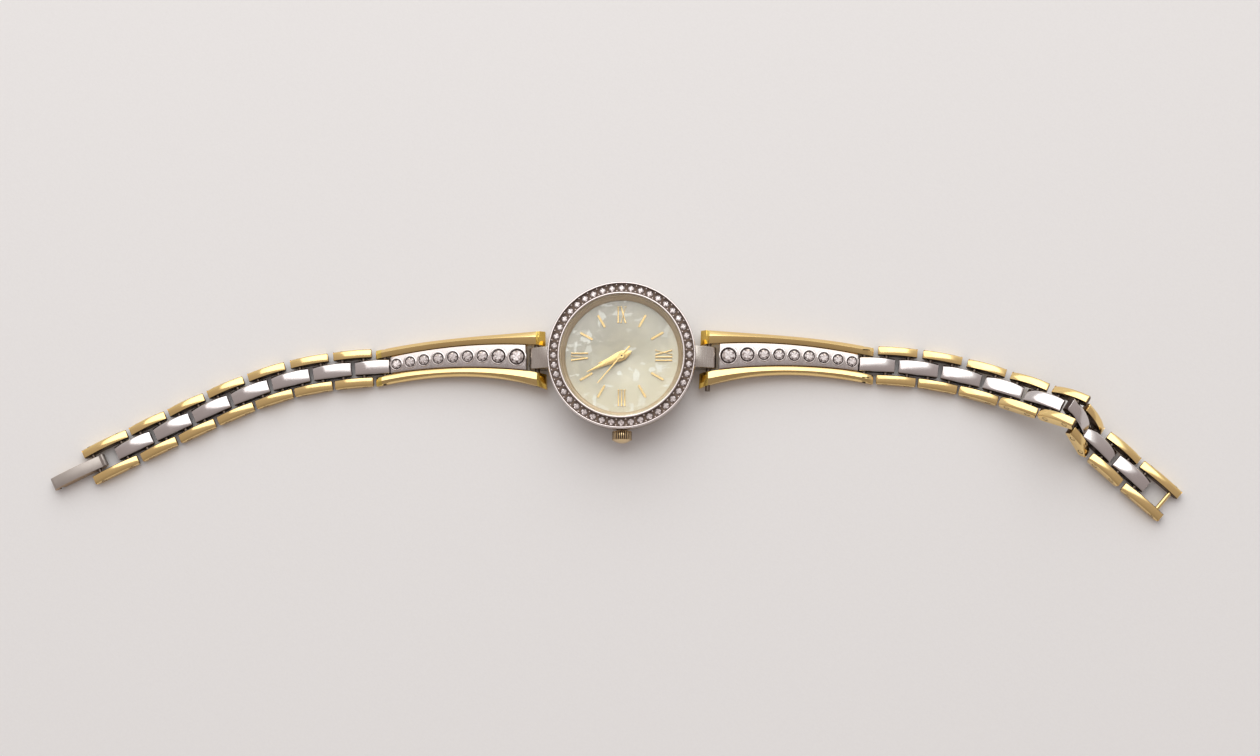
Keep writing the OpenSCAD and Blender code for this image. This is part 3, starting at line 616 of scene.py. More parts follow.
class Form:
    """A shape that grows part by part in its own frame, in millimetres."""

    def __init__(self) -> None:
        """Start with nothing."""
        self.bm = bmesh.new()

    def face(self, corners: Loop, material: int = 0) -> None:
        """Add one face, leaving out repeated corners."""
        kept = list(dict.fromkeys(corners))
        if len(kept) > 2:
            self.bm.faces.new(kept).material_index = material

    def loops(self, rings: Sequence[Sequence[Point3]]) -> list[list[bmesh.types.BMVert]]:
        """Vertices for rings of points."""
        return [[self.bm.verts.new(p) for p in ring] for ring in rings]

    def bridge(self, loops: Sequence[Loop], material: int = 0, cyclic: bool = False) -> None:
        """Join each loop to the next with a band of faces.

        Args:
            loops: Loops of vertices, each of one vertex or of the same number.
            material: The faces' material.
            cyclic: Whether the last loop is joined to the first.
        """
        following = list(loops[1:]) + (list(loops[:1]) if cyclic else [])
        for a, b in zip(loops, following):
            n = max(len(a), len(b))
            for i in range(n):
                j = (i + 1) % n
                self.face([a[i % len(a)], a[j % len(a)], b[j % len(b)], b[i % len(b)]], material)

    def revolve(
        self, profile: Sequence[Point2], count: int, material: int = 0, wave: Wave | None = None
    ) -> "Form":
        """Turn a profile round z.

        Args:
            profile: Points of radius and height. One that starts and ends on the axis is closed there.
            count: Number of steps in the turn.
            material: The faces' material.
            wave: Factor on the radius, from the angle, the radius and the height.

        Returns:
            This form.
        """
        rings = []
        for r, z in profile:
            if r < ON_AXIS:
                rings.append([(0.0, 0.0, z)])
                continue
            ring = []
            for i in range(count):
                a = 2 * math.pi * i / count
                q = r * (wave(a, r, z) if wave else 1.0)
                ring.append((q * math.cos(a), q * math.sin(a), z))
            rings.append(ring)
        self.bridge(self.loops(rings), material, cyclic=profile[0][0] > ON_AXIS)
        return self

    def lathe(self, profile: Sequence[Point2], ease: float, count: int) -> "Form":
        """Turn a profile round z with its corners rounded, apart from its ends where they lie on the axis.

        Args:
            profile: Points of radius and height.
            ease: Radius of the rounding.
            count: Number of steps in the turn.

        Returns:
            This form.
        """
        if profile[0][0] > ON_AXIS:
            return self.revolve(soften(profile, ease), count)
        return self.revolve([profile[0], *soften(profile[1:-1], ease), profile[-1]], count)

    def loft(self, rings: Sequence[Sequence[Point3]], material: int = 0) -> "Form":
        """A solid through rings of points with flat ends."""
        loops = self.loops(rings)
        self.bridge(loops, material)
        self.face(loops[0][::-1], material)
        self.face(loops[-1], material)
        return self

    def plate(
        self,
        outline: Sequence[Point2],
        stations: Sequence[Station],
        holes: Sequence[tuple[float, float, float]] = (),
        material: int = 0,
        hole_material: int = 0,
    ) -> "Form":
        """A plate of an outline in xz, built across y.

        Args:
            outline: The outline's points.
            stations: Cuts across the plate, from the lowest y to the highest.
            holes: Centre x, centre z and radius of each round hole.
            material: Material of the plate.
            hole_material: Material of the holes' walls.

        Returns:
            This form.
        """
        n = len(outline)
        area = sum(outline[i - 1][0] * outline[i][1] - outline[i][0] * outline[i - 1][1] for i in range(n))
        sense = 1.0 if area > 0 else -1.0
        normals = []
        for i in range(n):
            a, c = outline[i - 1], outline[(i + 1) % n]
            along = Vector((c[0] - a[0], c[1] - a[1])).normalized()
            normals.append(Vector((along.y, -along.x)) * sense)
        walls = []
        for st in stations:
            ring = []
            for (x, z), normal in zip(outline, normals):
                low = st.drop * max(0.0, min(1.0, (normal.y - 0.3) / 0.5))
                ring.append((x - normal.x * st.inset, st.y, z - normal.y * st.inset - low))
            walls.append(ring)
        loops = self.loops(walls)
        self.bridge(loops, material)
        ends = [list(loops[0]), list(loops[-1])]
        rims = [[loops[0]], [loops[-1]]]
        for x, z, r in holes:
            rings = [[(px, st.y, pz) for px, pz in circle(r + st.inset, 24, x, z)] for st in stations]
            tube = self.loops(rings)
            self.bridge(tube, hole_material)
            rims[0].append(tube[0])
            rims[1].append(tube[-1])
        for end, loops_here in zip(ends, rims):
            if len(loops_here) == 1:
                self.face(end, material)
                continue
            edges = []
            for loop in loops_here:
                for i, v in enumerate(loop):
                    edges.append(self.bm.edges.get((v, loop[(i + 1) % len(loop)])))
            made = bmesh.ops.triangle_fill(self.bm, use_beauty=True, use_dissolve=False, edges=edges)
            for item in made["geom"]:
                if isinstance(item, bmesh.types.BMFace):
                    item.material_index = material
        return self

    def rod(
        self,
        radius: float,
        y0: float,
        y1: float,
        x: float = 0.0,
        z: float = 0.0,
        ease: float = 0.05,
        material: int = 0,
    ) -> "Form":
        """A round rod along y with eased ends.

        Args:
            radius: The rod's radius.
            y0: Its lower end.
            y1: Its upper end.
            x: Its axis's x.
            z: Its axis's z.
            ease: Width of the chamfer at each end.
            material: Its material.

        Returns:
            This form.
        """
        rings = [
            [(px, y, pz) for px, pz in circle(r, 28, x, z)]
            for y, r in ((y0, radius - ease), (y0 + ease, radius), (y1 - ease, radius), (y1, radius - ease))
        ]
        return self.loft(rings, material)

    def drill(self, radius: float, reach: float, x: float = 0.0, z: float = 0.0, material: int = 0) -> "Form":
        """A rod along y that reaches as far to both sides, for cutting."""
        return self.rod(radius, -reach, reach, x, z, CUT_EASE, material)

    def box(self, low: Point3, high: Point3, material: int = 0) -> "Form":
        """A box between two corners, for cutting."""
        x0, y0, z0 = low
        x1, y1, z1 = high
        return self.loft([[(x0, y0, z), (x1, y0, z), (x1, y1, z), (x0, y1, z)] for z in (z0, z1)], material)

    def move(self, matrix: Matrix) -> "Form":
        """Move everything so far."""
        self.bm.transform(matrix)
        return self

    def mesh(self, name: str, finishes: Sequence[str]) -> bpy.types.Mesh:
        """Close the form and turn it into a mesh.

        Args:
            name: The mesh's name.
            finishes: Names of its finishes, in the order of the material indices.

        Returns:
            The mesh, in millimetres.
        """
        bmesh.ops.recalc_face_normals(self.bm, faces=self.bm.faces)
        made = bpy.data.meshes.new(name)
        self.bm.to_mesh(made)
        self.bm.free()
        for key in finishes:
            made.materials.append(finish(key))
        return made


def in_scene(name: str, data: bpy.types.ID) -> bpy.types.Object:
    """A new object in the scene's own collection."""
    made = bpy.data.objects.new(name, data)
    bpy.context.scene.collection.objects.link(made)
    return made


class Bench:
    """Works on meshes that aren't in the watch yet."""

    @staticmethod
    def _object(mesh: bpy.types.Mesh) -> bpy.types.Object:
        """A passing object for a mesh."""
        return in_scene("on_the_bench", mesh)

    @staticmethod
    def _result(made: bpy.types.Object) -> bpy.types.Mesh:
        """The evaluated mesh of a passing object, which is removed."""
        bpy.context.view_layer.update()
        graph = bpy.context.evaluated_depsgraph_get()
        mesh = bpy.data.meshes.new_from_object(made.evaluated_get(graph))
        bpy.data.objects.remove(made)
        return mesh

    @classmethod
    def bevel(cls, mesh: bpy.types.Mesh, width: float, angle: float = 25.0) -> bpy.types.Mesh:
        """Round the sharp edges of a mesh, in two segments.

        Args:
            mesh: The mesh.
            width: Width of the rounding.
            angle: Least angle between faces, in degrees, of an edge that is rounded.

        Returns:
            The new mesh.
        """
        made = cls._object(mesh)
        step = made.modifiers.new("bevel", "BEVEL")
        step.width = width
        step.segments = 2
        step.limit_method = "ANGLE"
        step.angle_limit = math.radians(angle)
        step.use_clamp_overlap = True
        step.miter_outer = "MITER_ARC"
        return cls._result(made)

    @classmethod
    def cut(cls, mesh: bpy.types.Mesh, *cutters: bpy.types.Mesh) -> bpy.types.Mesh:
        """Cut meshes out of a mesh, one after another."""
        made = cls._object(mesh)
        tools = [cls._object(c) for c in cutters]
        for tool in tools:
            step = made.modifiers.new("cut", "BOOLEAN")
            step.operation = "DIFFERENCE"
            step.solver = "EXACT"
            step.material_mode = "INDEX"
            step.object = tool
        mesh_out = cls._result(made)
        for tool in tools:
            bpy.data.objects.remove(tool)
        return mesh_out

    @staticmethod
    def paint(mesh: bpy.types.Mesh, index: int, test: Callable[[Vector, Vector], bool]) -> bpy.types.Mesh:
        """Give a material index to the faces whose normal and centre pass a test."""
        for face in mesh.polygons:
            if test(face.normal, face.center):
                face.material_index = index
        return mesh

    @classmethod
    def grow(cls, pattern: "GeometryTree", host: bpy.types.Mesh, **inputs: Any) -> bpy.types.Mesh:
        """Run a geometry tree on a mesh.

        Args:
            pattern: The tree.
            host: The mesh it starts from.
            **inputs: Values of the tree's named inputs. A mesh stands for an object that carries it.

        Returns:
            The new mesh.
        """
        made = cls._object(host)
        passing = []
        step = made.modifiers.new("grow", "NODES")
        step.node_group = pattern.tree
        for item in pattern.tree.interface.items_tree:
            if item.item_type == "SOCKET" and item.in_out == "INPUT" and item.name in inputs:
                value = inputs[item.name]
                if isinstance(value, bpy.types.Mesh):
                    value = cls._object(value)
                    passing.append(value)
                step[item.identifier] = value
        mesh = cls._result(made)
        for other in passing:
            bpy.data.objects.remove(other)
        return mesh


class GeometryTree(NodeGraph):
    """A Geometry Nodes tree with named inputs, which repeats an item."""

    def __init__(self, name: str, **inputs: str) -> None:
        """Start a tree.

        Args:
            name: The tree's name.
            **inputs: Socket type of each named input beside the item and its material.
        """
        self.tree = bpy.data.node_groups.new(name, "GeometryNodeTree")
        face = self.tree.interface
        face.new_socket("Geometry", in_out="INPUT", socket_type="NodeSocketGeometry")
        face.new_socket("Geometry", in_out="OUTPUT", socket_type="NodeSocketGeometry")
        for key, kind in {"Item": "Object", **inputs, "Material": "Material"}.items():
            face.new_socket(key, in_out="INPUT", socket_type=f"NodeSocket{kind}")
        self.inputs = self.tree.nodes.new("NodeGroupInput").outputs
        self.output = self.tree.nodes.new("NodeGroupOutput")

    def math(self, operation: str, *values: Any) -> bpy.types.NodeSocket:
        """One Math node."""
        sockets = {f"at{i}": value for i, value in enumerate(values)}
        return self.out("ShaderNodeMath", {"operation": operation}, **sockets)

    def joined(self, x: Any, y: Any, z: Any) -> bpy.types.NodeSocket:
        """A vector of three parts."""
        return self.out("ShaderNodeCombineXYZ", X=x, Y=y, Z=z)

    def scatter(self, points: bpy.types.NodeSocket, **sockets: Any) -> "GeometryTree":
        """Put the item on points and end the tree in real geometry with its material.

        Args:
            points: The points.
            **sockets: The items' Rotation, and their Scale if they have one.

        Returns:
            This tree.
        """
        settings = {"transform_space": "ORIGINAL"}
        item = self.node("GeometryNodeObjectInfo", settings, Object=self.inputs["Item"]).outputs["Geometry"]
        made = self.out("GeometryNodeInstanceOnPoints", Points=points, Instance=item, **sockets)
        real = self.out("GeometryNodeRealizeInstances", Geometry=made)
        dressed = self.out("GeometryNodeSetMaterial", Geometry=real, Material=self.inputs["Material"])
        self.tree.links.new(dressed, self.output.inputs[0])
        return self


def ring_tree() -> GeometryTree:
    """A tree that repeats an item on a circle round z, each turned to face outward."""
    tree = GeometryTree("repeat_on_ring", Count="Int", Radius="Float", Height="Float", Turn="Float")
    count, radius = tree.inputs["Count"], tree.inputs["Radius"]
    step = tree.math("DIVIDE", 2 * math.pi, count)
    whole = tree.math("ADD", tree.out("GeometryNodeInputIndex"), tree.inputs["Turn"])
    angle = tree.math("MULTIPLY", whole, step)
    x = tree.math("MULTIPLY", tree.math("COSINE", angle), radius)
    y = tree.math("MULTIPLY", tree.math("SINE", angle), radius)
    where = tree.joined(x, y, tree.inputs["Height"])
    points = tree.out("GeometryNodePoints", Count=count, Position=where, Radius=0.1)
    return tree.scatter(points, Rotation=tree.joined(0.0, 0.0, angle))


def row_tree() -> GeometryTree:
    """A tree that puts an item on each of the host's vertices, sized by its attribute."""
    tree = GeometryTree("repeat_on_row", Lean="Float")
    settings = {"data_type": "FLOAT"}
    size = tree.out("GeometryNodeInputNamedAttribute", settings, Name="size")
    spin = tree.out("GeometryNodeInputNamedAttribute", settings, Name="spin")
    facing = tree.joined(0.0, tree.inputs["Lean"], spin)
    return tree.scatter(tree.inputs["Geometry"], Rotation=facing, Scale=tree.joined(size, size, size))


def cut_stone(sides: int, seed: int) -> bpy.types.Mesh:
    """A round cut stone of unit diameter with its girdle at z = 0.

    Args:
        sides: Number of main facets.
        seed: Seed of the facets' tones.

    Returns:
        The stone's mesh, with a tone on each facet for its painted reflection.
    """
    form = Form()
    draw = random.Random(seed)
    tone = form.bm.faces.layers.float.new("facet")

    def ring(radius: float, z: float, count: int, shift: float = 0.0) -> list[bmesh.types.BMVert]:
        """A ring of vertices."""
        turn = 2 * math.pi / count
        angles = [(i + shift) * turn for i in range(count)]
        return [form.bm.verts.new((x, y, z)) for x, y in arc(angles, radius)]

    def facet(corners: Loop, value: float) -> None:
        """One facet with its tone."""
        form.bm.faces.new(corners)[tone] = max(0.0, min(1.0, value + draw.uniform(-0.22, 0.22)))

    table, kite = ring(0.31, 0.18, sides), ring(0.42, 0.1, sides, 0.5)
    girdle, under = ring(0.5, 0.03, 2 * sides), ring(0.5, -0.04, 2 * sides)
    top, culet = form.bm.verts.new((0, 0, 0.18)), form.bm.verts.new((0, 0, -0.3))
    for i in range(sides):
        j = (i + 1) % sides
        facet([top, table[i], table[j]], 0.95 if i % 2 else 0.35)
        facet([table[i], kite[i], table[j]], 0.62)
        facet([table[i], kite[i - 1], girdle[2 * i], kite[i]], 0.2 if i % 2 else 0.95)
        facet([kite[i], girdle[2 * i], girdle[2 * i + 1]], 0.45)
        facet([kite[i], girdle[2 * i + 1], girdle[(2 * i + 2) % (2 * sides)]], 0.9)
    for i in range(2 * sides):
        j = (i + 1) % (2 * sides)
        facet([girdle[i], under[i], under[j], girdle[j]], 0.4)
        facet([under[i], culet, under[j]], 0.2)
    return form.mesh("cut_stone", ["stone"])


# Placing


def add(
    name: str,
    mesh: bpy.types.Mesh,
    body: str,
    stands_for: Sequence[str],
    where: Matrix | None = None,
    sharp: float = 28.0,
) -> bpy.types.Object:
    """Put a finished mesh on the watch.

    Args:
        name: The piece's name.
        mesh: Its mesh in its own frame, in millimetres. It is copied.
        body: The body it rides on.
        stands_for: The nodes it stands for.
        where: Its place in the watch's frame, in millimetres.
        sharp: Angle in degrees above which an edge stays sharp, or 0 for flat facets.

    Returns:
        The piece.
    """
    own = mesh.copy()
    own.name = name
    points = own.attributes.new("own", "FLOAT_VECTOR", "POINT")
    flat = [0.0] * (3 * len(own.vertices))
    own.vertices.foreach_get("co", flat)
    points.data.foreach_set("vector", flat)
    own.transform(Matrix.Scale(MM, 4) @ (where or Matrix.Identity(4)))
    if sharp:
        own.shade_smooth()
        own.set_sharp_from_angle(angle=math.radians(sharp))
    else:
        own.shade_flat()
    piece = in_scene(name, own)
    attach(piece, body)
    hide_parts(*stands_for)
    log.info("%s: %d faces on %s", name, len(own.polygons), body)
    return piece


def dress_node(node: str, key: str) -> None:
    """Give a node of the frame its finish.

    Args:
        node: The node's name.
        key: The finish's name.
    """
    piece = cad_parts[node]
    piece.data.materials.clear()
    piece.data.materials.append(finish(key))
    log.info("%s: dressed in %s", node, key)


# The watch


@dataclass(frozen=True)
class Sizes:
    """Sizes that more than one piece of the watch takes."""

    bezel_r: float = 12.0
    case_h: float = 6.6
    side_h: float = 5.0
    cavity_r: float = 9.55
    back_t: float = 0.8
    glass_r: float = 10.0
    rim_w: float = 0.3
    channel_d: float = 0.55
    holder_z: float = 1.9
    ledge_z: float = 4.55
    glass_z: float = 5.62
    dial_z: float = 4.1
    dial_top: float = 4.5
    rehaut_r: float = 9.15
    dial_r: float = 9.5
    glass_gap: float = 0.02
    stem_z: float = 3.2
    lug_x: float = 14.0
    lug_z: float = 2.2

    @property
    def glass_edge(self) -> float:
        """Radius of the glass in its seat."""
        return self.glass_r - self.glass_gap

    @property
    def channel_in(self) -> float:
        """Inner radius of the stone channel."""
        return self.glass_r + self.rim_w

    @property
    def channel_out(self) -> float:
        """Outer radius of the stone channel."""
        return self.bezel_r - self.rim_w

    @property
    def channel_z(self) -> float:
        """Height of the channel's floor."""
        return self.case_h - self.channel_d


# Heading of both end pieces and their lug pins, in degrees
END_HEADING = 2.2
SIDES: dict[int, str] = {-1: "left", 1: "right"}


@dataclass
class Case:
    """The case band with its lugs, and the back."""

    sizes: Sizes
    lug_w: float = 3.5
    lug_r: float = 1.25
    lug_bore: float = 0.45
    lug_tilt: float = 26.0
    tube_bore: float = 0.91
    back_bevel: float = 0.06
    segments: int = 192

    def build(self) -> None:
        """Make the band, both lugs and the back."""
        self.band()
        for side in (-1, 1):
            self.lug(side)
        self.back()

    def band(self) -> None:
        """The turned band, with the hole for the crown's tube."""
        s = self.sizes
        profile = [
            (s.bezel_r - 1.65, 0.9), (s.bezel_r - 1, 0.9), (s.bezel_r - 0.3, s.holder_z),
            (s.bezel_r - 0.1, 3.5), (s.bezel_r - 0.2, s.side_h), (s.glass_r + 0.25, s.side_h),
            (s.glass_r + 0.25, s.ledge_z), (s.cavity_r, s.ledge_z), (s.cavity_r, s.holder_z),
            (s.bezel_r - 1.65, s.holder_z),
        ]
        band = Form().lathe(profile, 0.12, self.segments).mesh("case_band", ["case", "pin"])
        bore = Form().rod(self.tube_bore, -14.0, -8.5, 0.0, s.stem_z, CUT_EASE, 1)
        mesh = Bench.cut(band, bore.mesh("bore", ["case", "pin"]))
        add("case_band", mesh, "case", ["case_body"])

    def outline(self) -> list[Point2]:
        """Side view of a lug, toward +x."""
        s = self.sizes
        start, end = -math.pi / 2, math.pi / 2 - math.radians(self.lug_tilt)
        steps = 14
        angles = [start + (end - start) * i / steps for i in range(steps + 1)]
        nose = arc(angles, self.lug_r, s.lug_x, s.lug_z)
        root, shoulder = s.bezel_r - 1.1, s.side_h - 0.25
        return [(root, s.lug_z - self.lug_r), *nose, (s.bezel_r - 0.4, shoulder), (root, shoulder)]

    def lug(self, side: int) -> None:
        """One lug with its bore.

        Args:
            side: -1 for the side of six o'clock, 1 for twelve.
        """
        s, half = self.sizes, self.lug_w / 2
        names = ["lug", "pin"]
        stations = [Station(-half, 0.1), Station(-half + 0.03, 0.04), Station(-half + 0.1)]
        mesh = Form().plate(self.outline(), stations + mirrored(stations)).mesh("lug", names)
        bore = Form().drill(self.lug_bore, self.lug_w, material=1)
        bore.move(Matrix.Translation((s.lug_x, 0.0, s.lug_z)) @ turned(-side * END_HEADING))
        mesh = Bench.cut(mesh, bore.mesh("bore", names))
        place = turned(180) if side < 0 else None
        add(f"lug_{SIDES[side]}", mesh, "case", ["case_body"], place)

    def back(self) -> None:
        """The snap-on back, with a turned groove and the notch for prying it off."""
        s = self.sizes
        snap, wall, rim = s.bezel_r - 2.1, 0.6, s.holder_z - 0.15
        profile = [
            (0.0, 0.0), (snap - 2.2, 0.0), (snap - 2.1, 0.08), (snap - 1.9, 0.08), (snap - 1.8, 0.0),
            (snap - 0.3, 0.0), (snap + 0.2, 0.12), (snap + 1, 0.55), (snap + 1, 0.9), (snap, 0.9),
            (snap, rim), (snap - wall, rim), (snap - wall, s.back_t), (0.0, s.back_t),
        ]
        shell = Form().lathe(profile, self.back_bevel, self.segments).mesh("case_back", ["back"])
        notch = Form().box((snap + 0.55, -1.2, 0.5), (snap + 1.55, 1.2, 0.8))
        mesh = Bench.cut(shell, notch.move(turned(60)).mesh("notch", ["back"]))
        add("case_back_shell", mesh, "case", ["case_back"])


@dataclass
class Bezel:
    """The stone-set bezel, the glass and the ring round the dial."""

    sizes: Sizes
    stone_count: int = 44
    stone_d: float = 1.04
    stone_share: float = 0.96
    prong_r: float = 0.16
    seat_gap: float = 0.05
    segments: int = 264
    tree: GeometryTree = field(default_factory=ring_tree)

    def build(self) -> None:
        """Make the ring, its prongs and stones, the glass and the rehaut."""
        self.ring()
        self.prongs()
        self.stones()
        self.glass()
        self.rehaut()

    def repeat(
        self, item: bpy.types.Mesh, radius: float, height: float, turn: float, key: str
    ) -> bpy.types.Mesh:
        """Copies of an item round the channel, one to each stone.

        Args:
            item: The item's mesh.
            radius: Distance of the copies from the centre.
            height: Their height.
            turn: How far they are turned on, as a share of a step.
            key: Their finish.

        Returns:
            One mesh of all copies.
        """
        return Bench.grow(
            self.tree, bpy.data.meshes.new("host"), Item=item, Count=self.stone_count, Radius=radius,
            Height=height, Turn=turn, Material=finish(key),
        )

    @property
    def middle(self) -> float:
        """Radius of the channel's middle line."""
        return (self.sizes.channel_in + self.sizes.channel_out) / 2

    def ring(self) -> None:
        """The ring with its channel and the stones' seats."""
        s = self.sizes
        names = ["rim", "channel", "oxide_and_shade", "case"]
        profile = [
            (s.glass_r, s.ledge_z), (s.glass_r + 0.22, s.ledge_z), (s.glass_r + 0.22, s.side_h),
            (s.bezel_r - 0.15, s.side_h), (s.bezel_r, s.side_h + 0.15), (s.bezel_r, s.case_h - 0.3),
            (s.bezel_r - 0.1, s.case_h - 0.1), (s.channel_out, s.case_h - 0.1),
            (s.channel_out, s.channel_z), (s.channel_in, s.channel_z), (s.channel_in, s.case_h - 0.08),
            (s.channel_in - 0.1, s.case_h), (s.glass_r, s.case_h),
        ]
        mesh = Form().lathe(profile, 0.07, self.segments).mesh("bezel_ring", names)

        def channel(_: Vector, c: Vector) -> bool:
            """Whether a face is a wall or the floor of the channel."""
            across = s.channel_in + 0.004 < math.hypot(c.x, c.y) < s.channel_out - 0.004
            return across and s.channel_z - 0.1 < c.z < s.case_h - 0.2

        # The channel's walls and floor take near-black steel: painted shade between the stones.
        Bench.paint(mesh, 1, channel)
        # The bezel's outer wall takes the case steel with its warm painted reflection.
        Bench.paint(mesh, 3, lambda n, c: math.hypot(c.x, c.y) > s.bezel_r - 0.02 and c.z < s.case_h - 0.35)
        depth, wide = SEAT_DEPTH * self.stone_d, self.stone_d / 2 + self.seat_gap
        seat = Form().revolve([(0.0, -depth), (wide, -depth), (wide, 1.0), (0.0, 1.0)], 20, 2)
        cutter = self.repeat(seat.mesh("seat", names), self.middle, s.channel_z, 0.0, "oxide_and_shade")
        cutter.materials.clear()
        for key in names:
            cutter.materials.append(finish(key))
        # The seats' walls take near-black steel: painted shade under the stones.
        Bench.paint(cutter, 2, lambda n, c: True)
        add("bezel_ring", Bench.cut(mesh, cutter), "case", ["bezel"])

    def prongs(self) -> None:
        """Two rings of bead prongs between the stones."""
        s, r, stem, off = self.sizes, self.prong_r, 0.2, 0.04
        dome = arc(map(math.radians, range(0, 90, 22)), r, 0.0, stem)
        bead = Form().revolve([(0.0, -0.04), (r, -0.04), *dome, (0.0, stem + r)], 10).mesh("bead", ["bead"])
        for name, radius in (("inner", s.channel_in + r + off), ("outer", s.channel_out - r - off)):
            beads = self.repeat(bead, radius, s.channel_z, 0.5, "bead")
            add(f"bezel_beads_{name}", beads, "case", ["bezel"], sharp=60.0)

    def stones(self) -> None:
        """The stones in the channel."""
        stone = cut_stone(8, 3)
        stone.transform(Matrix.Scale(self.stone_d * self.stone_share, 4))
        height = self.sizes.channel_z - GIRDLE_SINK * self.stone_d
        made = self.repeat(stone, self.middle, height, 0.0, "stone")
        add("bezel_crystals", made, "case", ["bezel_stones"], sharp=0.0)

    def glass(self) -> None:
        """The flat glass with its ground edge."""
        s, r, ground = self.sizes, self.sizes.glass_edge, 0.2
        profile = [
            (0.0, s.glass_z), (r, s.glass_z), (r, s.case_h - ground), (r - ground, s.case_h), (0.0, s.case_h)
        ]
        mesh = Form().lathe(profile, 0.04, self.segments).mesh("glass", ["glass"])
        add("crystal_disc", mesh, "case", ["crystal_glass"])

    def rehaut(self) -> None:
        """The sloped ring between the dial and the glass."""
        s = self.sizes
        profile = [
            (s.rehaut_r, s.dial_top), (s.dial_r, s.dial_top), (s.dial_r, s.ledge_z),
            (s.glass_edge, s.ledge_z), (s.glass_edge, s.glass_z), (s.glass_r - 0.2, s.glass_z),
            (s.rehaut_r + 0.4, 5.11), (s.rehaut_r + 0.28, 5.06), (s.rehaut_r, s.dial_top + 0.12),
        ]
        mesh = Form().lathe(profile, 0.04, self.segments).mesh("rehaut", ["rehaut"])
        add("rehaut_band", mesh, "case", ["rehaut_ring"])


@dataclass(frozen=True)
class Wheel:
    """A small toothed wheel that lies flat about z: its pitch radius, underside and hole's radius."""

    radius: float
    teeth: int
    z: float
    thick: float
    bore: float
    tooth: float = 0.08

    def add_to(self, form: Form) -> Form:
        """Add the wheel to a form and return the form."""
        z, steps = self.z, 4 * self.teeth
        rim = []
        for i in range(steps):
            a = math.pi * i / (2 * self.teeth)
            q = self.radius + (self.tooth if i % 4 < 2 else -self.tooth)
            rim.append((q * math.cos(a), q * math.sin(a)))
        hole = circle(self.bore, steps)
        outline = ((rim, z), (rim, z + self.thick), (hole, z + self.thick), (hole, z))
        rings = [[(x, y, height) for x, y in ring] for ring, height in outline]
        form.bridge(form.loops(rings), 0, cyclic=True)
        return form


@dataclass(frozen=True)
class Hand:
    """An alpha hand: its angle clockwise from twelve, its underside, lengths, pipe and wheel."""

    name: str
    at: float
    z: float
    length: float
    half: float
    tail: float
    pipe_in: float
    wheel: Wheel


HANDS: tuple[Hand, ...] = (
    Hand(
        "hour", at=162.5, z=4.79, length=4.0, half=0.8, tail=1.6, pipe_in=0.4,
        wheel=Wheel(radius=2.3, teeth=40, z=3.6, thick=0.25, bore=0.58),
    ),
    Hand(
        "minute", at=155.0, z=5.02, length=6.2, half=0.78, tail=1.8, pipe_in=0.18,
        wheel=Wheel(radius=1.7, teeth=30, z=2.05, thick=0.25, bore=0.34),
    ),
)


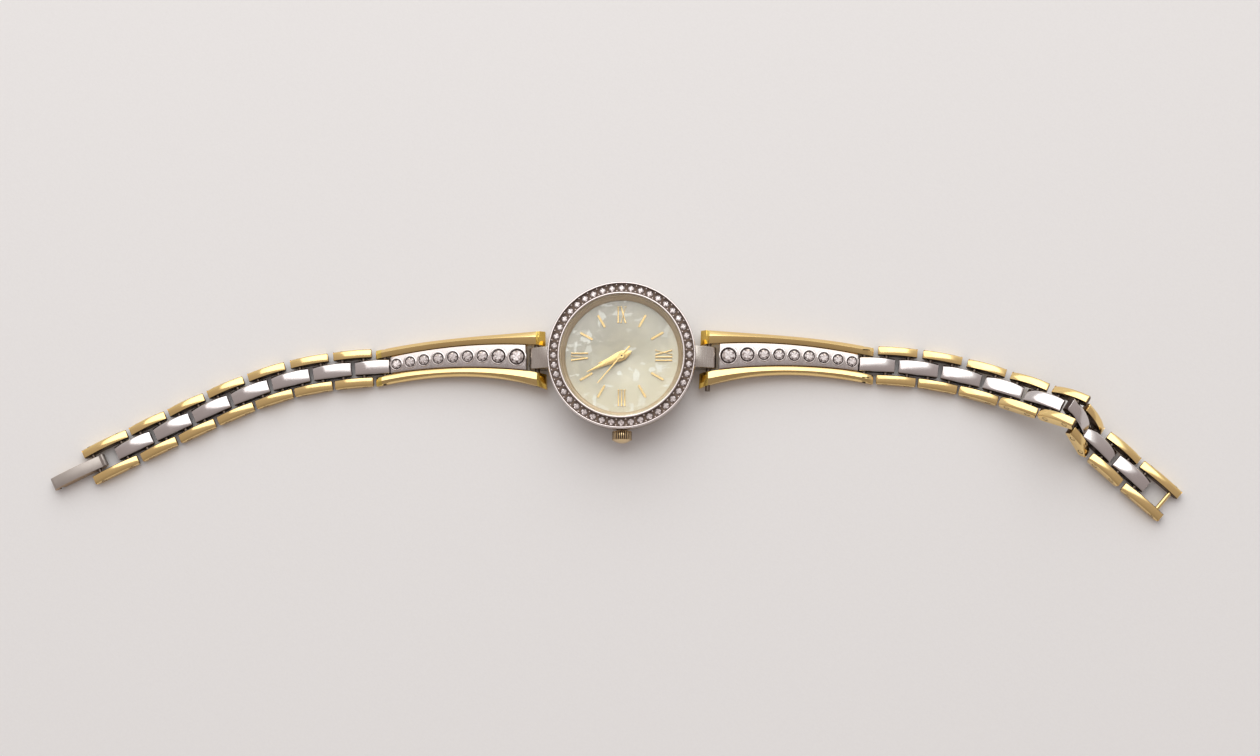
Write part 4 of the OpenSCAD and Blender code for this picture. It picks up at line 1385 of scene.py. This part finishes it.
@dataclass
class Dial:
    """The dial, its applied markers and the hands."""

    sizes: Sizes
    hole_r: float = 0.66
    hand_t: float = 0.1
    seconds_z: float = 5.25
    seconds_at: float = 131.0

    def build(self) -> None:
        """Make the dial, the markers and the three hands."""
        s = self.sizes
        low, top, hole = s.dial_z, s.dial_top, self.hole_r
        disc = Form().lathe([(hole, low), (s.dial_r, low), (s.dial_r, top), (hole, top)], 0.05, 192)
        add("dial_disc", disc.mesh("dial", ["nacre"]), "case", ["dial"])
        self.markers()
        for hand in HANDS:
            self.hand(hand)
        self.seconds()

    def markers(self) -> None:
        """The applied numerals and batons, eased along their edges."""
        bm = bmesh.new()
        bm.from_mesh(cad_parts["hour_markers"].data)
        bmesh.ops.remove_doubles(bm, verts=bm.verts, dist=1e-7)
        bm.transform(Matrix.Scale(1 / MM, 4))
        bmesh.ops.dissolve_limit(bm, angle_limit=math.radians(2), verts=bm.verts, edges=bm.edges)
        mesh = bpy.data.meshes.new("markers")
        bm.to_mesh(mesh)
        bm.free()
        mesh.materials.append(finish("marker"))
        add("applied_markers", Bench.bevel(mesh, 0.03, 40), "case", ["hour_markers"])

    @staticmethod
    def blade(stations: Sequence[tuple[float, float]], z: float, thick: float, edge: float) -> Form:
        """A hand's blade with a ridge along it.

        Args:
            stations: Distance from the centre and half width of each section.
            z: Height of its underside.
            thick: Thickness at the ridge.
            edge: Thickness at its edges.

        Returns:
            The blade, whose ridge is full where it is wide.
        """
        full = 0.6
        rings = [
            [
                (x, -w, z), (x, -w, z + edge), (x, 0.0, z + edge + (thick - edge) * min(1.0, w / full)),
                (x, w, z + edge), (x, w, z),
            ]
            for x, w in stations
        ]
        return Form().loft(rings)

    def hand(self, hand: Hand) -> None:
        """An alpha hand with its pipe and wheel.

        Args:
            hand: The hand's sizes.
        """
        z, length, half, tail = hand.z, hand.length, hand.half, hand.tail
        stations = [
            (-tail, 0.02), (-0.55 * tail, 0.62 * half), (-0.3, half),
            (0.45, half), (0.55 * length, 0.42 * half), (length, 0.04),
        ]
        blade = self.blade(stations, z, self.hand_t, 0.045).mesh("blade", ["hand"])
        pipe_in, pipe_out = hand.pipe_in, hand.wheel.bore
        bore = Form().revolve([(0.0, z - 1), (pipe_out, z - 1), (pipe_out, z + 1), (0.0, z + 1)], 40)
        blade = Bench.cut(blade, bore.mesh("bore", ["hand"]))
        low, top = hand.wheel.z, z + self.hand_t
        tube = [(pipe_in, low), (pipe_out, low), (pipe_out, top), (pipe_in, top)]
        rest = hand.wheel.add_to(Form().lathe(tube, 0.02, 40))
        node, turn = f"{hand.name}_hand", turned(-hand.at)
        add(f"{hand.name}_blade", blade, node, [node], turn, 15.0)
        add(f"{hand.name}_pipe", rest.mesh("pipe", ["hand"]), node, [node], turn)

    def seconds(self) -> None:
        """The thin seconds hand with its hub and arbor."""
        z, low, arbor = self.seconds_z, self.sizes.back_t + 0.22, 0.12
        stations = [(-2.05, 0.14), (-0.7, 0.11), (0.0, 0.12), (2.9, 0.1), (5.9, 0.07)]
        hub = [
            (0.0, z - 0.04), (0.5, z - 0.04), (0.5, z + 0.03), (0.46, z + 0.06),
            (0.16, z + 0.06), (0.14, z + 0.02), (0.0, z + 0.02),
        ]
        cap = [(0.0, z + 0.015), (0.13, z + 0.015), (0.13, z + 0.07), (0.08, z + 0.09), (0.0, z + 0.1)]
        form = self.blade(stations, z, self.hand_t, 0.05).revolve(hub, 40)
        form.revolve([(0.0, low), (arbor, low), (arbor, z - 0.02), (0.0, z - 0.02)], 20)
        Wheel(radius=1.6, teeth=28, z=1.5, thick=0.2, bore=arbor).add_to(form)
        mesh = form.revolve(cap, 20, 1).mesh("seconds", ["hand", "pin"])
        add("seconds_needle", mesh, "seconds_hand", ["seconds_hand"], turned(-self.seconds_at), 20.0)


@dataclass
class Crown:
    """The fluted crown at three o'clock."""

    sizes: Sizes
    diameter: float = 3.2
    length: float = 1.47
    dome: float = 0.5
    flutes: int = 30
    flute_depth: float = 0.12
    start_y: float = -12.07
    stem_bore: float = 0.43
    tube_bore: float = 1.02
    tube_depth: float = 1.13

    def build(self) -> None:
        """Make the crown with its domed end and the recess over the tube."""
        r, length = self.diameter / 2, self.length
        edge = r - 0.15
        bulge = (edge * edge + self.dome * self.dome) / (2 * self.dome)
        steps = 8
        cap = [
            (q, length + self.dome - bulge + math.sqrt(bulge * bulge - q * q))
            for q in (edge * (1 - k / steps) for k in range(steps + 1))
        ]
        inside = [
            (0.0, length - 0.05), (self.stem_bore, length - 0.05), (self.stem_bore, self.tube_depth),
            (self.tube_bore, self.tube_depth), (self.tube_bore, 0.0),
        ]
        side = [
            (r - 0.12, 0.0), (r - 0.03, 0.05), (r, 0.1), (r, length - 0.1), (r - 0.03, length - 0.05),
            (r - 0.12, length),
        ]

        def flute(angle: float, radius: float, _: float) -> float:
            """Factor that cuts the flutes into the outer band alone."""
            ridge = max(0.0, math.cos(self.flutes * angle)) ** 0.7
            return 1.0 - (self.flute_depth / r * ridge if radius > r - 0.05 else 0.0)

        def groove(_: Vector, c: Vector) -> bool:
            """Whether a face lies down in a flute."""
            return r - 0.14 < math.hypot(c.x, c.z) < r - 0.045 and -length + 0.08 < c.y < -0.08

        form = Form().revolve([*inside, *side, *cap], self.flutes * 8, 0, flute).move(turned(90, "X"))
        # Faces down in the flutes take near-black steel: painted shade in the grooves.
        mesh = Bench.paint(form.mesh("crown", ["gold_crown_painted_shade", "oxide_and_shade"]), 1, groove)
        place = Matrix.Translation((0.0, self.start_y, self.sizes.stem_z))
        add("crown_knob", mesh, "crown", ["crown"], place, 35.0)


@dataclass(frozen=True)
class Lay:
    """How one piece of the bracelet lies, in degrees."""

    heading: float
    slope: float = 0.0
    roll: float = 0.0


END_L = 25.3
END_SLOPE = math.degrees(math.asin(1.2 / END_L))
LAYS: dict[int, list[Lay]] = {
    -1: [Lay(END_HEADING, END_SLOPE)]
    + [Lay(h) for h in (3.5, 5, 7.5, 10.5, 14, 18, 21, 23, 24.5, 25, 25.5, 26, 26, 26, 26)],
    1: [
        Lay(END_HEADING, END_SLOPE), Lay(3.5), Lay(5), Lay(7.5), Lay(11), Lay(14.5, -3, -1.5),
        Lay(17.5, -8, -4.5), Lay(20, -14, -7.5), Lay(22, -20, -10.5), Lay(23, -27, -13.5), Lay(24, -34, -16),
        Lay(49, 41, -20), Lay(48, 46, -17), Lay(42, 12, -12), Lay(42, 4, -8.5), Lay(42, 4, -4.5),
        Lay(41, 3, -0.5),
    ],
}


@dataclass
class EndPiece:
    """A stone-set end piece: two rails, their web, the plate and its stones."""

    side: int
    place: Matrix
    length: float = END_L
    start: float = -1.4
    end: float = END_L + 1.45
    wide: float = 4.8
    narrow: float = 2.98
    flare: float = 3.2
    bend: float = 0.95
    rail_h: float = 1.35
    link_half: float = 0.95
    plate_wide: float = 2.1
    plate_narrow: float = 1.35
    plate_start: float = 1.75
    plate_end: float = 24.23
    web_t: float = 0.45
    web_lift: float = 0.1
    plate_sink: float = 0.3
    lug_pin_r: float = 0.4
    lug_hole_r: float = 0.41
    pin_r: float = 0.35
    pin_hole_r: float = 0.36
    stones_d: tuple[float, ...] = (2.7, 2.4, 1.95, 1.95, 1.95, 1.9, 1.85, 1.77, 1.77)
    stone_gap: float = 0.505
    stone_share: float = 0.79
    pin_proud: float = 0.9

    @property
    def tag(self) -> str:
        """The side in words."""
        return SIDES[self.side]

    def bow(self, s: float) -> float:
        """Sideways place of the middle line, s from the lug pin."""
        return self.side * self.bend * 4 * s * (self.length - s) / self.length**2

    def outer(self, s: float) -> float:
        """Half width over the rails, s from the lug pin."""
        share = (self.end - s) / (self.end - self.start)
        return self.narrow + (self.wide - self.narrow) * share**self.flare

    def plate_half(self, s: float) -> float:
        """Half width of the stone plate."""
        share = (s - self.plate_start) / (self.plate_end - self.plate_start)
        return self.plate_wide + (self.plate_narrow - self.plate_wide) * share

    def inner(self, s: float) -> float:
        """Half width to the rails' inner faces."""
        return max(self.plate_half(s) + 0.12, 1.55)

    def half(self, s: float) -> float:
        """Half height of the rails."""
        return self.rail_h + (self.link_half - self.rail_h) * (s - self.start) / (self.end - self.start)

    def web_low(self, s: float) -> float:
        """Height of the web's underside."""
        return -self.half(s) + self.web_lift

    def plate_top(self, s: float) -> float:
        """Height of the plate's face."""
        return self.half(s) - self.plate_sink

    def top(self, s: float, drop: float) -> float:
        """Height of a rail's top, drop below its ridge, with the bright cuts at its ends."""
        return min(
            self.half(s) - drop,
            -0.2 * self.rail_h + (s - self.start) * 1.15 - 0.15 * drop,
            0.35 * self.link_half + (self.end - s) * 0.62 - 0.15 * drop,
        )

    def ring(self, s: float, hand: int) -> list[Point3]:
        """Section of a rail, s from the lug pin."""
        o, i, h, b = self.outer(s), self.inner(s), self.half(s), self.bow(s)
        ridge = o - 0.45 * (o - i)
        points = [
            (s, i, -h), (s, o - 0.15, -h), (s, o, -h + 0.25), (s, o, self.top(s, 0.75)),
            (s, ridge, self.top(s, 0.0)), (s, i, self.top(s, 0.4)),
        ]
        if hand > 0:
            return [(x, b + y, z) for x, y, z in points]
        return [(x, b - y, z) for x, y, z in reversed(points)]

    def build(self) -> None:
        """Make the rails, the web, the pins, the plate and the stones."""
        for hand in (-1, 1):
            self.rail(hand)
        self.web()
        self.pins()
        self.plate()
        self.crystals()

    def put(self, name: str, mesh: bpy.types.Mesh, slot: str, node: str, sharp: float = 24.0) -> None:
        """Add a piece of this end piece where it lies."""
        body, stands_for = f"end_piece_{self.tag}", [f"{node}_{self.tag}"]
        add(f"{name}_{self.tag}", mesh, body, stands_for, self.place, sharp)

    def rail(self, hand: int) -> None:
        """One two-facet rail with bright cut ends.

        Args:
            hand: Which rail, by the sign of its y.
        """
        cuts = [self.start + off for off in (0.0, 0.844, 1.1, 1.39)]
        tip = [self.end - off for off in (1.02, 0.458, 0.0)]
        steps = 44
        body = [cuts[-1] + (tip[0] - cuts[-1]) * k / steps for k in range(1, steps)]
        form = Form().loft([self.ring(s, hand) for s in cuts + body + tip])
        far = self.end - 1.0 if self.side < 0 else self.end + 1.0
        near = self.start + 1.35
        names = ["gold", "gold_cut_painted_highlight", "oxide_and_shade"]
        mesh = form.mesh("rail", names)
        # Upward faces near the rails' ends take the bright-cut gold with its painted highlight.
        Bench.paint(mesh, 1, lambda n, c: n.z > 0.2 and not near < c.x < far)
        mesh = Bench.bevel(mesh, 0.05, 17)
        holes = ((0.0, self.lug_hole_r), (self.length, self.pin_hole_r))
        # The bores and the slit take near-black steel: painted shade inside them.
        cutters = [Form().drill(r, 8.0, x, material=2).mesh("bore", names) for x, r in holes]
        if self.side > 0:
            at, half = 25.5, 0.08
            y = self.bow(25.0) + hand * (self.outer(at) + self.inner(at)) / 2
            slit = Form().box((at - 0.6, y - half, 0.4), (at + 0.6, y + half, 2.0), 2)
            cutters.append(slit.mesh("slit", names))
        name = f"rail_{'upper' if hand * self.side < 0 else 'lower'}"
        self.put(name, Bench.cut(mesh, *cutters), "gold", "end_frame")

    def along(self, steps: int) -> list[float]:
        """Even steps from one end of the plate to the other."""
        return [self.plate_start + (self.plate_end - self.plate_start) * k / steps for k in range(steps + 1)]

    def web(self) -> None:
        """The web that joins the rails under the plate."""
        rings = []
        for s in self.along(12):
            w, low, b = self.inner(s) + 0.25, self.web_low(s), self.bow(s)
            top = low + self.web_t
            rings.append([(s, b - w, low), (s, b + w, low), (s, b + w, top), (s, b - w, top)])
        mesh = Bench.bevel(Form().loft(rings).mesh("web", ["gold"]), 0.04)
        self.put("web", mesh, "gold", "end_frame")

    def pins(self) -> None:
        """The lug pin and the first link's pin."""
        reach = self.outer(0.0)
        low = -reach - (self.pin_proud if self.side > 0 else 0.0)
        lug = Form().rod(self.lug_pin_r, low, reach, ease=0.07).mesh("lug_pin", ["pin"])
        self.put("lug_rod", lug, "pin", "lug_pin")
        half = self.outer(self.length) - 0.1
        first = Form().rod(self.pin_r, -half, half, self.length).mesh("first_pin", ["pin"])
        self.put("first_pin", first, "gold", "end_frame")

    def stations(self) -> list[float]:
        """Distance of each stone from the lug pin."""
        out = [self.plate_start + 0.1 + self.stones_d[0] / 2]
        for a, b in zip(self.stones_d, self.stones_d[1:]):
            out.append(out[-1] + (a + b) / 2 + self.stone_gap)
        return out

    def plate(self) -> None:
        """The bright plate with a cone for each stone's seat, painted dark as shade, and a collar round it.
        """
        rings = []
        for s in self.along(30):
            w, b = self.plate_half(s), self.bow(s)
            low, top = self.web_low(s) + self.web_t, self.plate_top(s)
            rings.append([
                (s, b - w, low), (s, b + w, low), (s, b + w, top - 0.1), (s, b + w - 0.1, top),
                (s, b - w + 0.1, top), (s, b - w, top - 0.1),
            ])
        names = ["seat", "oxide_and_shade", "plate"]
        mesh = Bench.bevel(Form().loft(rings).mesh("plate", names), 0.03, 30)
        cutter, collars = Form(), Form()
        for s, d in zip(self.stations(), self.stones_d):
            put = Matrix.Translation((s, self.bow(s), self.plate_top(s)))
            small, r, low = self.stone_share * d / 2 + 0.02, d / 2 + 0.02, -SEAT_DEPTH * d
            cone = [(0.0, low), (small, low), (small, -0.05 * d), (r, 0.03), (r, 3.0), (0.0, 3.0)]
            # The cones' walls take near-black steel: painted shade in the seats.
            cutter.bm.from_mesh(Form().revolve(cone, 48, 1).move(put).mesh("cone", names))
            ring = [(r, -0.2), (r + 0.2, -0.2), (r + 0.2, 0.0), (r + 0.15, 0.07), (r + 0.05, 0.09), (r, 0.05)]
            collars.bm.from_mesh(Form().revolve(ring, 48, 2).move(put).mesh("collar", names))
        self.put("plate", Bench.cut(mesh, cutter.mesh("seats", names)), "steel_polished", "stone_plate")
        self.put("collars", collars.mesh("collars", names), "steel_polished", "stone_plate")

    def crystals(self) -> None:
        """The graduated stones, put on the plate by a geometry tree."""
        host = bpy.data.meshes.new("row")
        places = self.stations()
        pairs = zip(places, self.stones_d)
        points = [(s, self.bow(s), self.plate_top(s) - GIRDLE_SINK * d) for s, d in pairs]
        host.from_pydata(points, [], [])
        sizes = [self.stone_share * d for d in self.stones_d]
        for name, values in (("size", sizes), ("spin", [0.4 * i for i in range(len(places))])):
            host.attributes.new(name, "FLOAT", "POINT").data.foreach_set("value", list(values))
        lean = math.atan((self.rail_h - self.link_half) / (self.end - self.start))
        made = Bench.grow(row_tree(), host, Item=cut_stone(12, 5), Lean=lean, Material=finish("stone"))
        self.put("crystals", made, "stone", "plate_stones", 0.0)


@dataclass
class LinkSizes:
    """Sizes that all links share."""

    pitch: float = 3.5
    thick: float = 1.9
    end_r: float = 1.45
    outer_w: float = 6.2
    bar_w: float = 1.45
    centre_w: float = 2.3
    pin_r: float = 0.35
    pin_gap: float = 0.09
    bar_bore: float = 0.36
    crown_r: float = 9.0

    def side_view(self, span: float, inner_r: float | None = None) -> list[Point2]:
        """Outline of a link from the side: round about both pins, flat below, crowned above.

        Args:
            span: Distance between its pins.
            inner_r: Radius of its inner end, when that is smaller than the other.

        Returns:
            The outline.
        """
        half = self.thick / 2
        big = self.crown_r * span / self.pitch

        def crowned(x: float) -> float:
            """Height of the crowned top."""
            return half - big + math.sqrt(big * big - (x - span / 2) ** 2)

        def end(r: float, x: float, way: int) -> list[Point2]:
            """Round end about the pin at x, from the flat below to the crown above."""
            low, tries, steps = math.asin(min(1.0, half / r)), 900, 8
            angles = (low * k / tries for k in range(1, tries))
            high = next(a for a in angles if r * math.sin(a) > crowned(x + way * r * math.cos(a)))
            turns = [-low + (high + low) * k / steps for k in range(steps + 1)]
            return arc(turns, r, x, 0.0, way)

        right = end(self.end_r, span, 1)
        left = end(inner_r or self.end_r, 0.0, -1)[::-1]
        x0, x1 = right[-1][0], left[0][0]
        count = 22
        top = [(x0 + (x1 - x0) * k / count, crowned(x0 + (x1 - x0) * k / count)) for k in range(1, count)]
        return soften([*right, *top, *left], 0.12, 4, 0.4)


@dataclass
class Bracelet:
    """The links of both sides and the clasp, each placed on its own body."""

    case: Sizes
    sizes: LinkSizes = field(default_factory=LinkSizes)
    clasp_link_l: float = 5.1
    catch_link_l: float = 4.85
    clasp_l: float = 7.95
    clasp_tail: float = 1.75
    clasp_w: float = 2.0
    clasp_sheet: float = 0.4
    clasp_crown_r: float = 24.0
    clasp_end_r: float = 0.8
    clasp_bore: float = 0.44
    catch_bore: float = 0.38
    bump_at: tuple[float, ...] = (2.2, 2.75, 3.3)

    def spans(self, side: int) -> list[float]:
        """Length of each piece between its pins, from the case outward."""
        n = len(LAYS[side])
        middle = [self.sizes.pitch] * (n - (3 if side < 0 else 2))
        last = [self.clasp_link_l, self.clasp_l] if side < 0 else [self.catch_link_l]
        return [END_L, *middle, *last]

    def places(self, side: int) -> list[Matrix]:
        """Place of each piece, at its inner pin."""
        at = Vector((side * self.case.lug_x, 0.0, self.case.lug_z))
        out = []
        for lay, span in zip(LAYS[side], self.spans(side)):
            yaw = 180 + lay.heading if side < 0 else -lay.heading
            turn = turned(yaw) @ turned(lay.slope, "Y") @ turned(lay.roll, "X")
            out.append(Matrix.Translation(at) @ turn)
            at = at + turn.to_3x3() @ Vector((span, 0.0, 0.0))
        return out

    def centre(self, inner_r: float | None = None) -> bpy.types.Mesh:
        """The steel centre link, painted dark as shade where it faces its neighbours.

        Args:
            inner_r: Radius of its inner end, when that is smaller than the other.

        Returns:
            Its mesh.
        """
        z = self.sizes
        half = z.centre_w / 2
        left = [
            Station(-half, 0.1, 0.16), Station(-half + 0.03, 0.045, 0.15), Station(-half + 0.08, 0.01, 0.12),
            Station(-half + 0.2, 0, 0.07), Station(-half + 0.35, 0, 0.035), Station(-half * 0.35, 0, 0.008),
        ]
        stations = left + [Station(0.0)] + mirrored(left)
        bore = z.pin_r + z.pin_gap
        outline, bores = z.side_view(z.pitch, inner_r), [(0.0, 0.0, bore), (z.pitch, 0.0, bore)]
        mesh = Form().plate(outline, stations, bores, 0, 1).mesh("centre_link", ["steel", "oxide_and_shade"])
        # Side faces and the lower parts of the ends take near-black steel: painted shade between the links.
        return Bench.paint(mesh, 1, lambda n, _: abs(n.y) > 0.8 or (abs(n.x) > 0.5 and n.z < 0.35))

    def outer(self, span: float, last: str = "pin") -> bpy.types.Mesh:
        """A gold outer link: two bars hollowed from below and the pins between them.

        Args:
            span: Distance between its pins.
            last: Finish of its outer pin.

        Returns:
            Its mesh.
        """
        z = self.sizes
        half = z.bar_w / 2
        whole = Form()
        names = ["gold", "pin", "oxide_and_shade", "gold_painted_gap_shade", last]
        for hand in (-1, 1):
            stations = [
                Station(-half, 0.08, 0.08), Station(-half + 0.03, 0.03, 0.06), Station(-half + 0.09, 0, 0.04),
                Station(-half + 0.3, 0, 0.01), Station(-half + 0.55), Station(half - 0.5, 0, 0.02),
                Station(half - 0.3, 0, 0.07), Station(half - 0.12, 0.01, 0.16),
                Station(half - 0.04, 0.04, 0.21), Station(half, 0.1, 0.24),
            ]
            if hand < 0:
                stations = mirrored(stations)
            bores = [(0.0, 0.0, z.bar_bore), (span, 0.0, z.bar_bore)]
            bar = Form().plate(z.side_view(span), stations, bores, 0, 2)
            mesh = bar.mesh("bar", names)
            # The inner faces and the lower end faces take near-black gold, and the bores near-black steel:
            # painted shade between and inside the links.
            Bench.paint(mesh, 3, lambda n, c: n.y * hand < -0.6 or (abs(n.x) > 0.5 and n.z < 0.1))
            pocket = Form().box((0.8, -z.bar_w / 4, -2.0), (span - 0.8, z.bar_w / 4, -0.05))
            mesh = Bench.cut(mesh, pocket.mesh("pocket", names))
            mesh.transform(Matrix.Translation((0.0, hand * (z.outer_w - z.bar_w) / 2, 0.0)))
            whole.bm.from_mesh(mesh)
        face = z.outer_w / 2 - 0.01
        head = face - z.bar_w / 2
        for x, index in ((0.0, 1), (span, 4)):
            whole.rod(z.pin_r, -head, head, x, 0.0, 0.04, index)
            whole.rod(z.bar_bore, -face, -head, x, ease=0.03).rod(z.bar_bore, head, face, x, ease=0.03)
        return whole.mesh("outer_link", names)

    def clasp(self, place: Matrix) -> None:
        """The folded steel clasp with its notch for the catch bar.

        Args:
            place: Where it lies.
        """
        half, tail, length, end_r = self.sizes.thick / 2, self.clasp_tail, self.clasp_l, self.clasp_end_r
        crown = self.clasp_crown_r
        rising = [math.radians(-70 + 130 * k / 8) for k in range(9)]
        falling = [math.radians(60 - 130 * k / 8) for k in range(9)]
        right = arc(rising, end_r, length - end_r)
        left = arc(falling, end_r, -tail + end_r, 0.0, -1)
        x0, x1 = right[-1][0] - 0.5, left[0][0] + 0.5
        top = []
        for k in range(17):
            x = x0 + (x1 - x0) * k / 16
            top.append((x, half - crown + math.sqrt(crown * crown - (x - length / 2) ** 2) - 0.02))
        outline = soften([(length - 0.9, -half), *right, *top, *left, (-tail + 0.9, -half)], 0.1, 4, 0.35)
        w = self.clasp_w / 2
        stations = [Station(-w, 0.06), Station(-w + 0.02, 0.02), Station(-w + 0.07)]
        names = ["clasp", "oxide_and_shade", "clasp_side"]
        hook = length - 1.1
        mesh = Form().plate(outline, stations + mirrored(stations)).mesh("clasp", names)
        Bench.paint(mesh, 2, lambda n, _: abs(n.y) > 0.8)
        inside = w - self.clasp_sheet
        # The bores and the hook's notch take near-black steel: painted shade inside them.
        cutters = [
            Form().box((0.3 - tail, -inside, -2.0), (-0.4, inside, 0.05)),
            Form().box((-0.5, -inside, -2.0), (length - 0.3, inside, 0.45)),
            Form().drill(self.clasp_bore, 3.0, material=1),
            Form().drill(self.catch_bore, 3.0, hook, -0.25, 1),
            Form().box((hook - 0.28, -3.0, -2.0), (hook + 0.28, 3.0, -0.2), 1),
        ]
        mesh = Bench.cut(mesh, *[c.mesh("cutter", names) for c in cutters])
        bumps = Form()
        bumps.bm.from_mesh(mesh)
        wide, high = 0.13, 0.07
        dome = [(wide * math.cos(math.radians(a)), high * math.sin(math.radians(a))) for a in (0, 30, 60)]
        for x in self.bump_at:
            for hand in (-1, 1):
                bump = Form().revolve([(0.0, -0.05), (wide, -0.05), *dome, (0.0, high)], 14)
                bump.move(Matrix.Translation((x, hand * w, 0.1)) @ turned(-hand * 90, "X"))
                bumps.bm.from_mesh(bump.mesh("bump", names))
        add("clasp_channel", bumps.mesh("clasp", names), "clasp", ["clasp"], place, 26.0)

    def build(self) -> None:
        """Make the end pieces, all the links and the clasp."""
        centre, first = self.centre(), self.centre(self.sizes.thick / 2)
        outers = {span: self.outer(span) for span in (self.sizes.pitch, self.clasp_link_l)}
        outers[self.catch_link_l] = self.outer(self.catch_link_l, "gold_fine")
        for side, tag in SIDES.items():
            places, spans = self.places(side), self.spans(side)
            EndPiece(side, places[0]).build()
            for k in range(1, len(places)):
                if side < 0 and k == len(places) - 1:
                    self.clasp(places[k])
                elif k % 2:
                    body = f"centre_link_{tag}_{(k + 1) // 2}"
                    mesh = centre if k > 1 else first
                    add(body.replace("link", "block"), mesh, body, [body], places[k], 30.0)
                else:
                    body = f"outer_link_{tag}_{k // 2}"
                    add(body.replace("link", "pair"), outers[spans[k]], body, [body], places[k], 30.0)


INNER_NODES: dict[str, str] = {
    "back_gasket": "gasket",
    "movement_plate": "brass",
    "train_bridge": "back",
    "battery_cell": "back",
    "drive_coil": "copper",
    "movement_holder": "holder",
    "stem_tube": "pin",
    "setting_lever": "pin",
    "stem": "pin",
}


# The studio


@dataclass
class Studio:
    """The camera, the floor, the lamp and the room."""

    target: Point3 = (1.25, -3.30, 3.0)
    toward: Point3 = (0.055, -0.155, 1.0)
    distance: float = 320.0
    roll: float = 0.2
    focal_px: float = 1971.0
    photo_px: float = 1260.0
    floor_z: float = -0.15
    floor_half: float = 1500.0
    lamp_at: Point3 = (-30.0, 380.0, 420.0)
    lamp_size: float = 700.0
    lamp_power: float = 2.1
    window_from: Point3 = (-0.29, 0.125, -0.05)
    window_to: Point3 = (-0.22, 0.165, 0.05)
    window_end: Point2 = (0.4, 0.6)

    def build(self) -> None:
        """Make the camera first, then the floor, the lamp and the world."""
        self.camera()
        self.floor()
        self.lamp()
        self.world()
        bpy.context.scene.view_settings.view_transform = "Standard"

    def camera(self) -> None:
        """The camera at the photograph's viewing angle."""
        data = bpy.data.cameras.new("camera")
        data.sensor_width = 36.0
        data.lens = 36.0 * self.focal_px / self.photo_px
        data.clip_start = 0.01
        data.clip_end = 10.0
        out = Vector(self.toward).normalized()
        across = (-out).cross(Vector((0.0, 1.0, 0.0))).normalized()
        upward = across.cross(-out)
        a = math.radians(self.roll)
        right = across * math.cos(a) + upward * math.sin(a)
        up = upward * math.cos(a) - across * math.sin(a)
        turn = Matrix((right, up, out)).transposed()
        camera = in_scene("camera", data)
        place = (Vector(self.target) + out * self.distance) * MM
        camera.matrix_world = Matrix.Translation(place) @ turn.to_4x4()
        bpy.context.scene.camera = camera

    def floor(self) -> None:
        """A pale sheet of paper."""
        s = Shader("pale_paper")
        fibre = s.noise(s.place(), 3.0, 4.0)
        colour = s.mix(fibre, (0.80, 0.79, 0.785), (0.84, 0.835, 0.83))
        s.surface(s.principled(Base_Color=colour, Roughness=0.85, Normal=s.bump(fibre, 0.01)))
        h, z = self.floor_half * MM, self.floor_z * MM
        mesh = bpy.data.meshes.new("floor")
        mesh.from_pydata([(-h, -h, z), (h, -h, z), (h, h, z), (-h, h, z)], [], [(0, 1, 2, 3)])
        mesh.materials.append(s.block)
        in_scene("floor", mesh)

    def lamp(self) -> None:
        """A square soft box that faces the watch."""
        data = bpy.data.lights.new("key", "AREA")
        data.shape = "RECTANGLE"
        data.size = data.size_y = self.lamp_size * MM
        data.energy = self.lamp_power
        at = Vector(self.lamp_at)
        lamp = in_scene("key", data)
        lamp.location = at * MM
        lamp.rotation_mode = "QUATERNION"
        lamp.rotation_quaternion = (-at).to_track_quat("-Z", "Y")

    def world(self) -> None:
        """A room with a broad bright window overhead and behind the watch, and greyer walls."""
        room = Shader("room", bpy.data.worlds.new("room"))
        x, y, z = room.parts(Value(room, room.node("ShaderNodeTexCoord").outputs["Generated"]))
        walls = room.ramp(
            room.math("ADD", y * 0.5, 0.5, clamp=True),
            [
                (0.0, (0.30, 0.265, 0.255)), (0.5, (0.49, 0.435, 0.42)), (0.57, (0.55, 0.495, 0.48)),
                (1.0, (0.8, 0.79, 0.78)),
            ],
        )
        edges = zip((x, y, z), self.window_from, self.window_to)
        left, low, near = (room.step(part, start, end) for part, start, end in edges)
        window = left * (1.0 - room.step(x, *self.window_end)) * low * near
        colour = room.mix(window, walls, (1.1, 1.09, 1.07))
        back = room.out("ShaderNodeBackground", Color=colour, Strength=1.0)
        room.node("ShaderNodeOutputWorld", Surface=back)
        bpy.context.scene.world = room.block


def main() -> None:
    """Build the watch and its studio."""
    logging.basicConfig(level=logging.INFO, format="%(name)s %(message)s")
    Studio().build()
    sizes = Sizes()
    Case(sizes).build()
    Bezel(sizes).build()
    Dial(sizes).build()
    Crown(sizes).build()
    Bracelet(sizes).build()
    for node, key in INNER_NODES.items():
        dress_node(node, key)


if __name__ == "__main__":
    main()
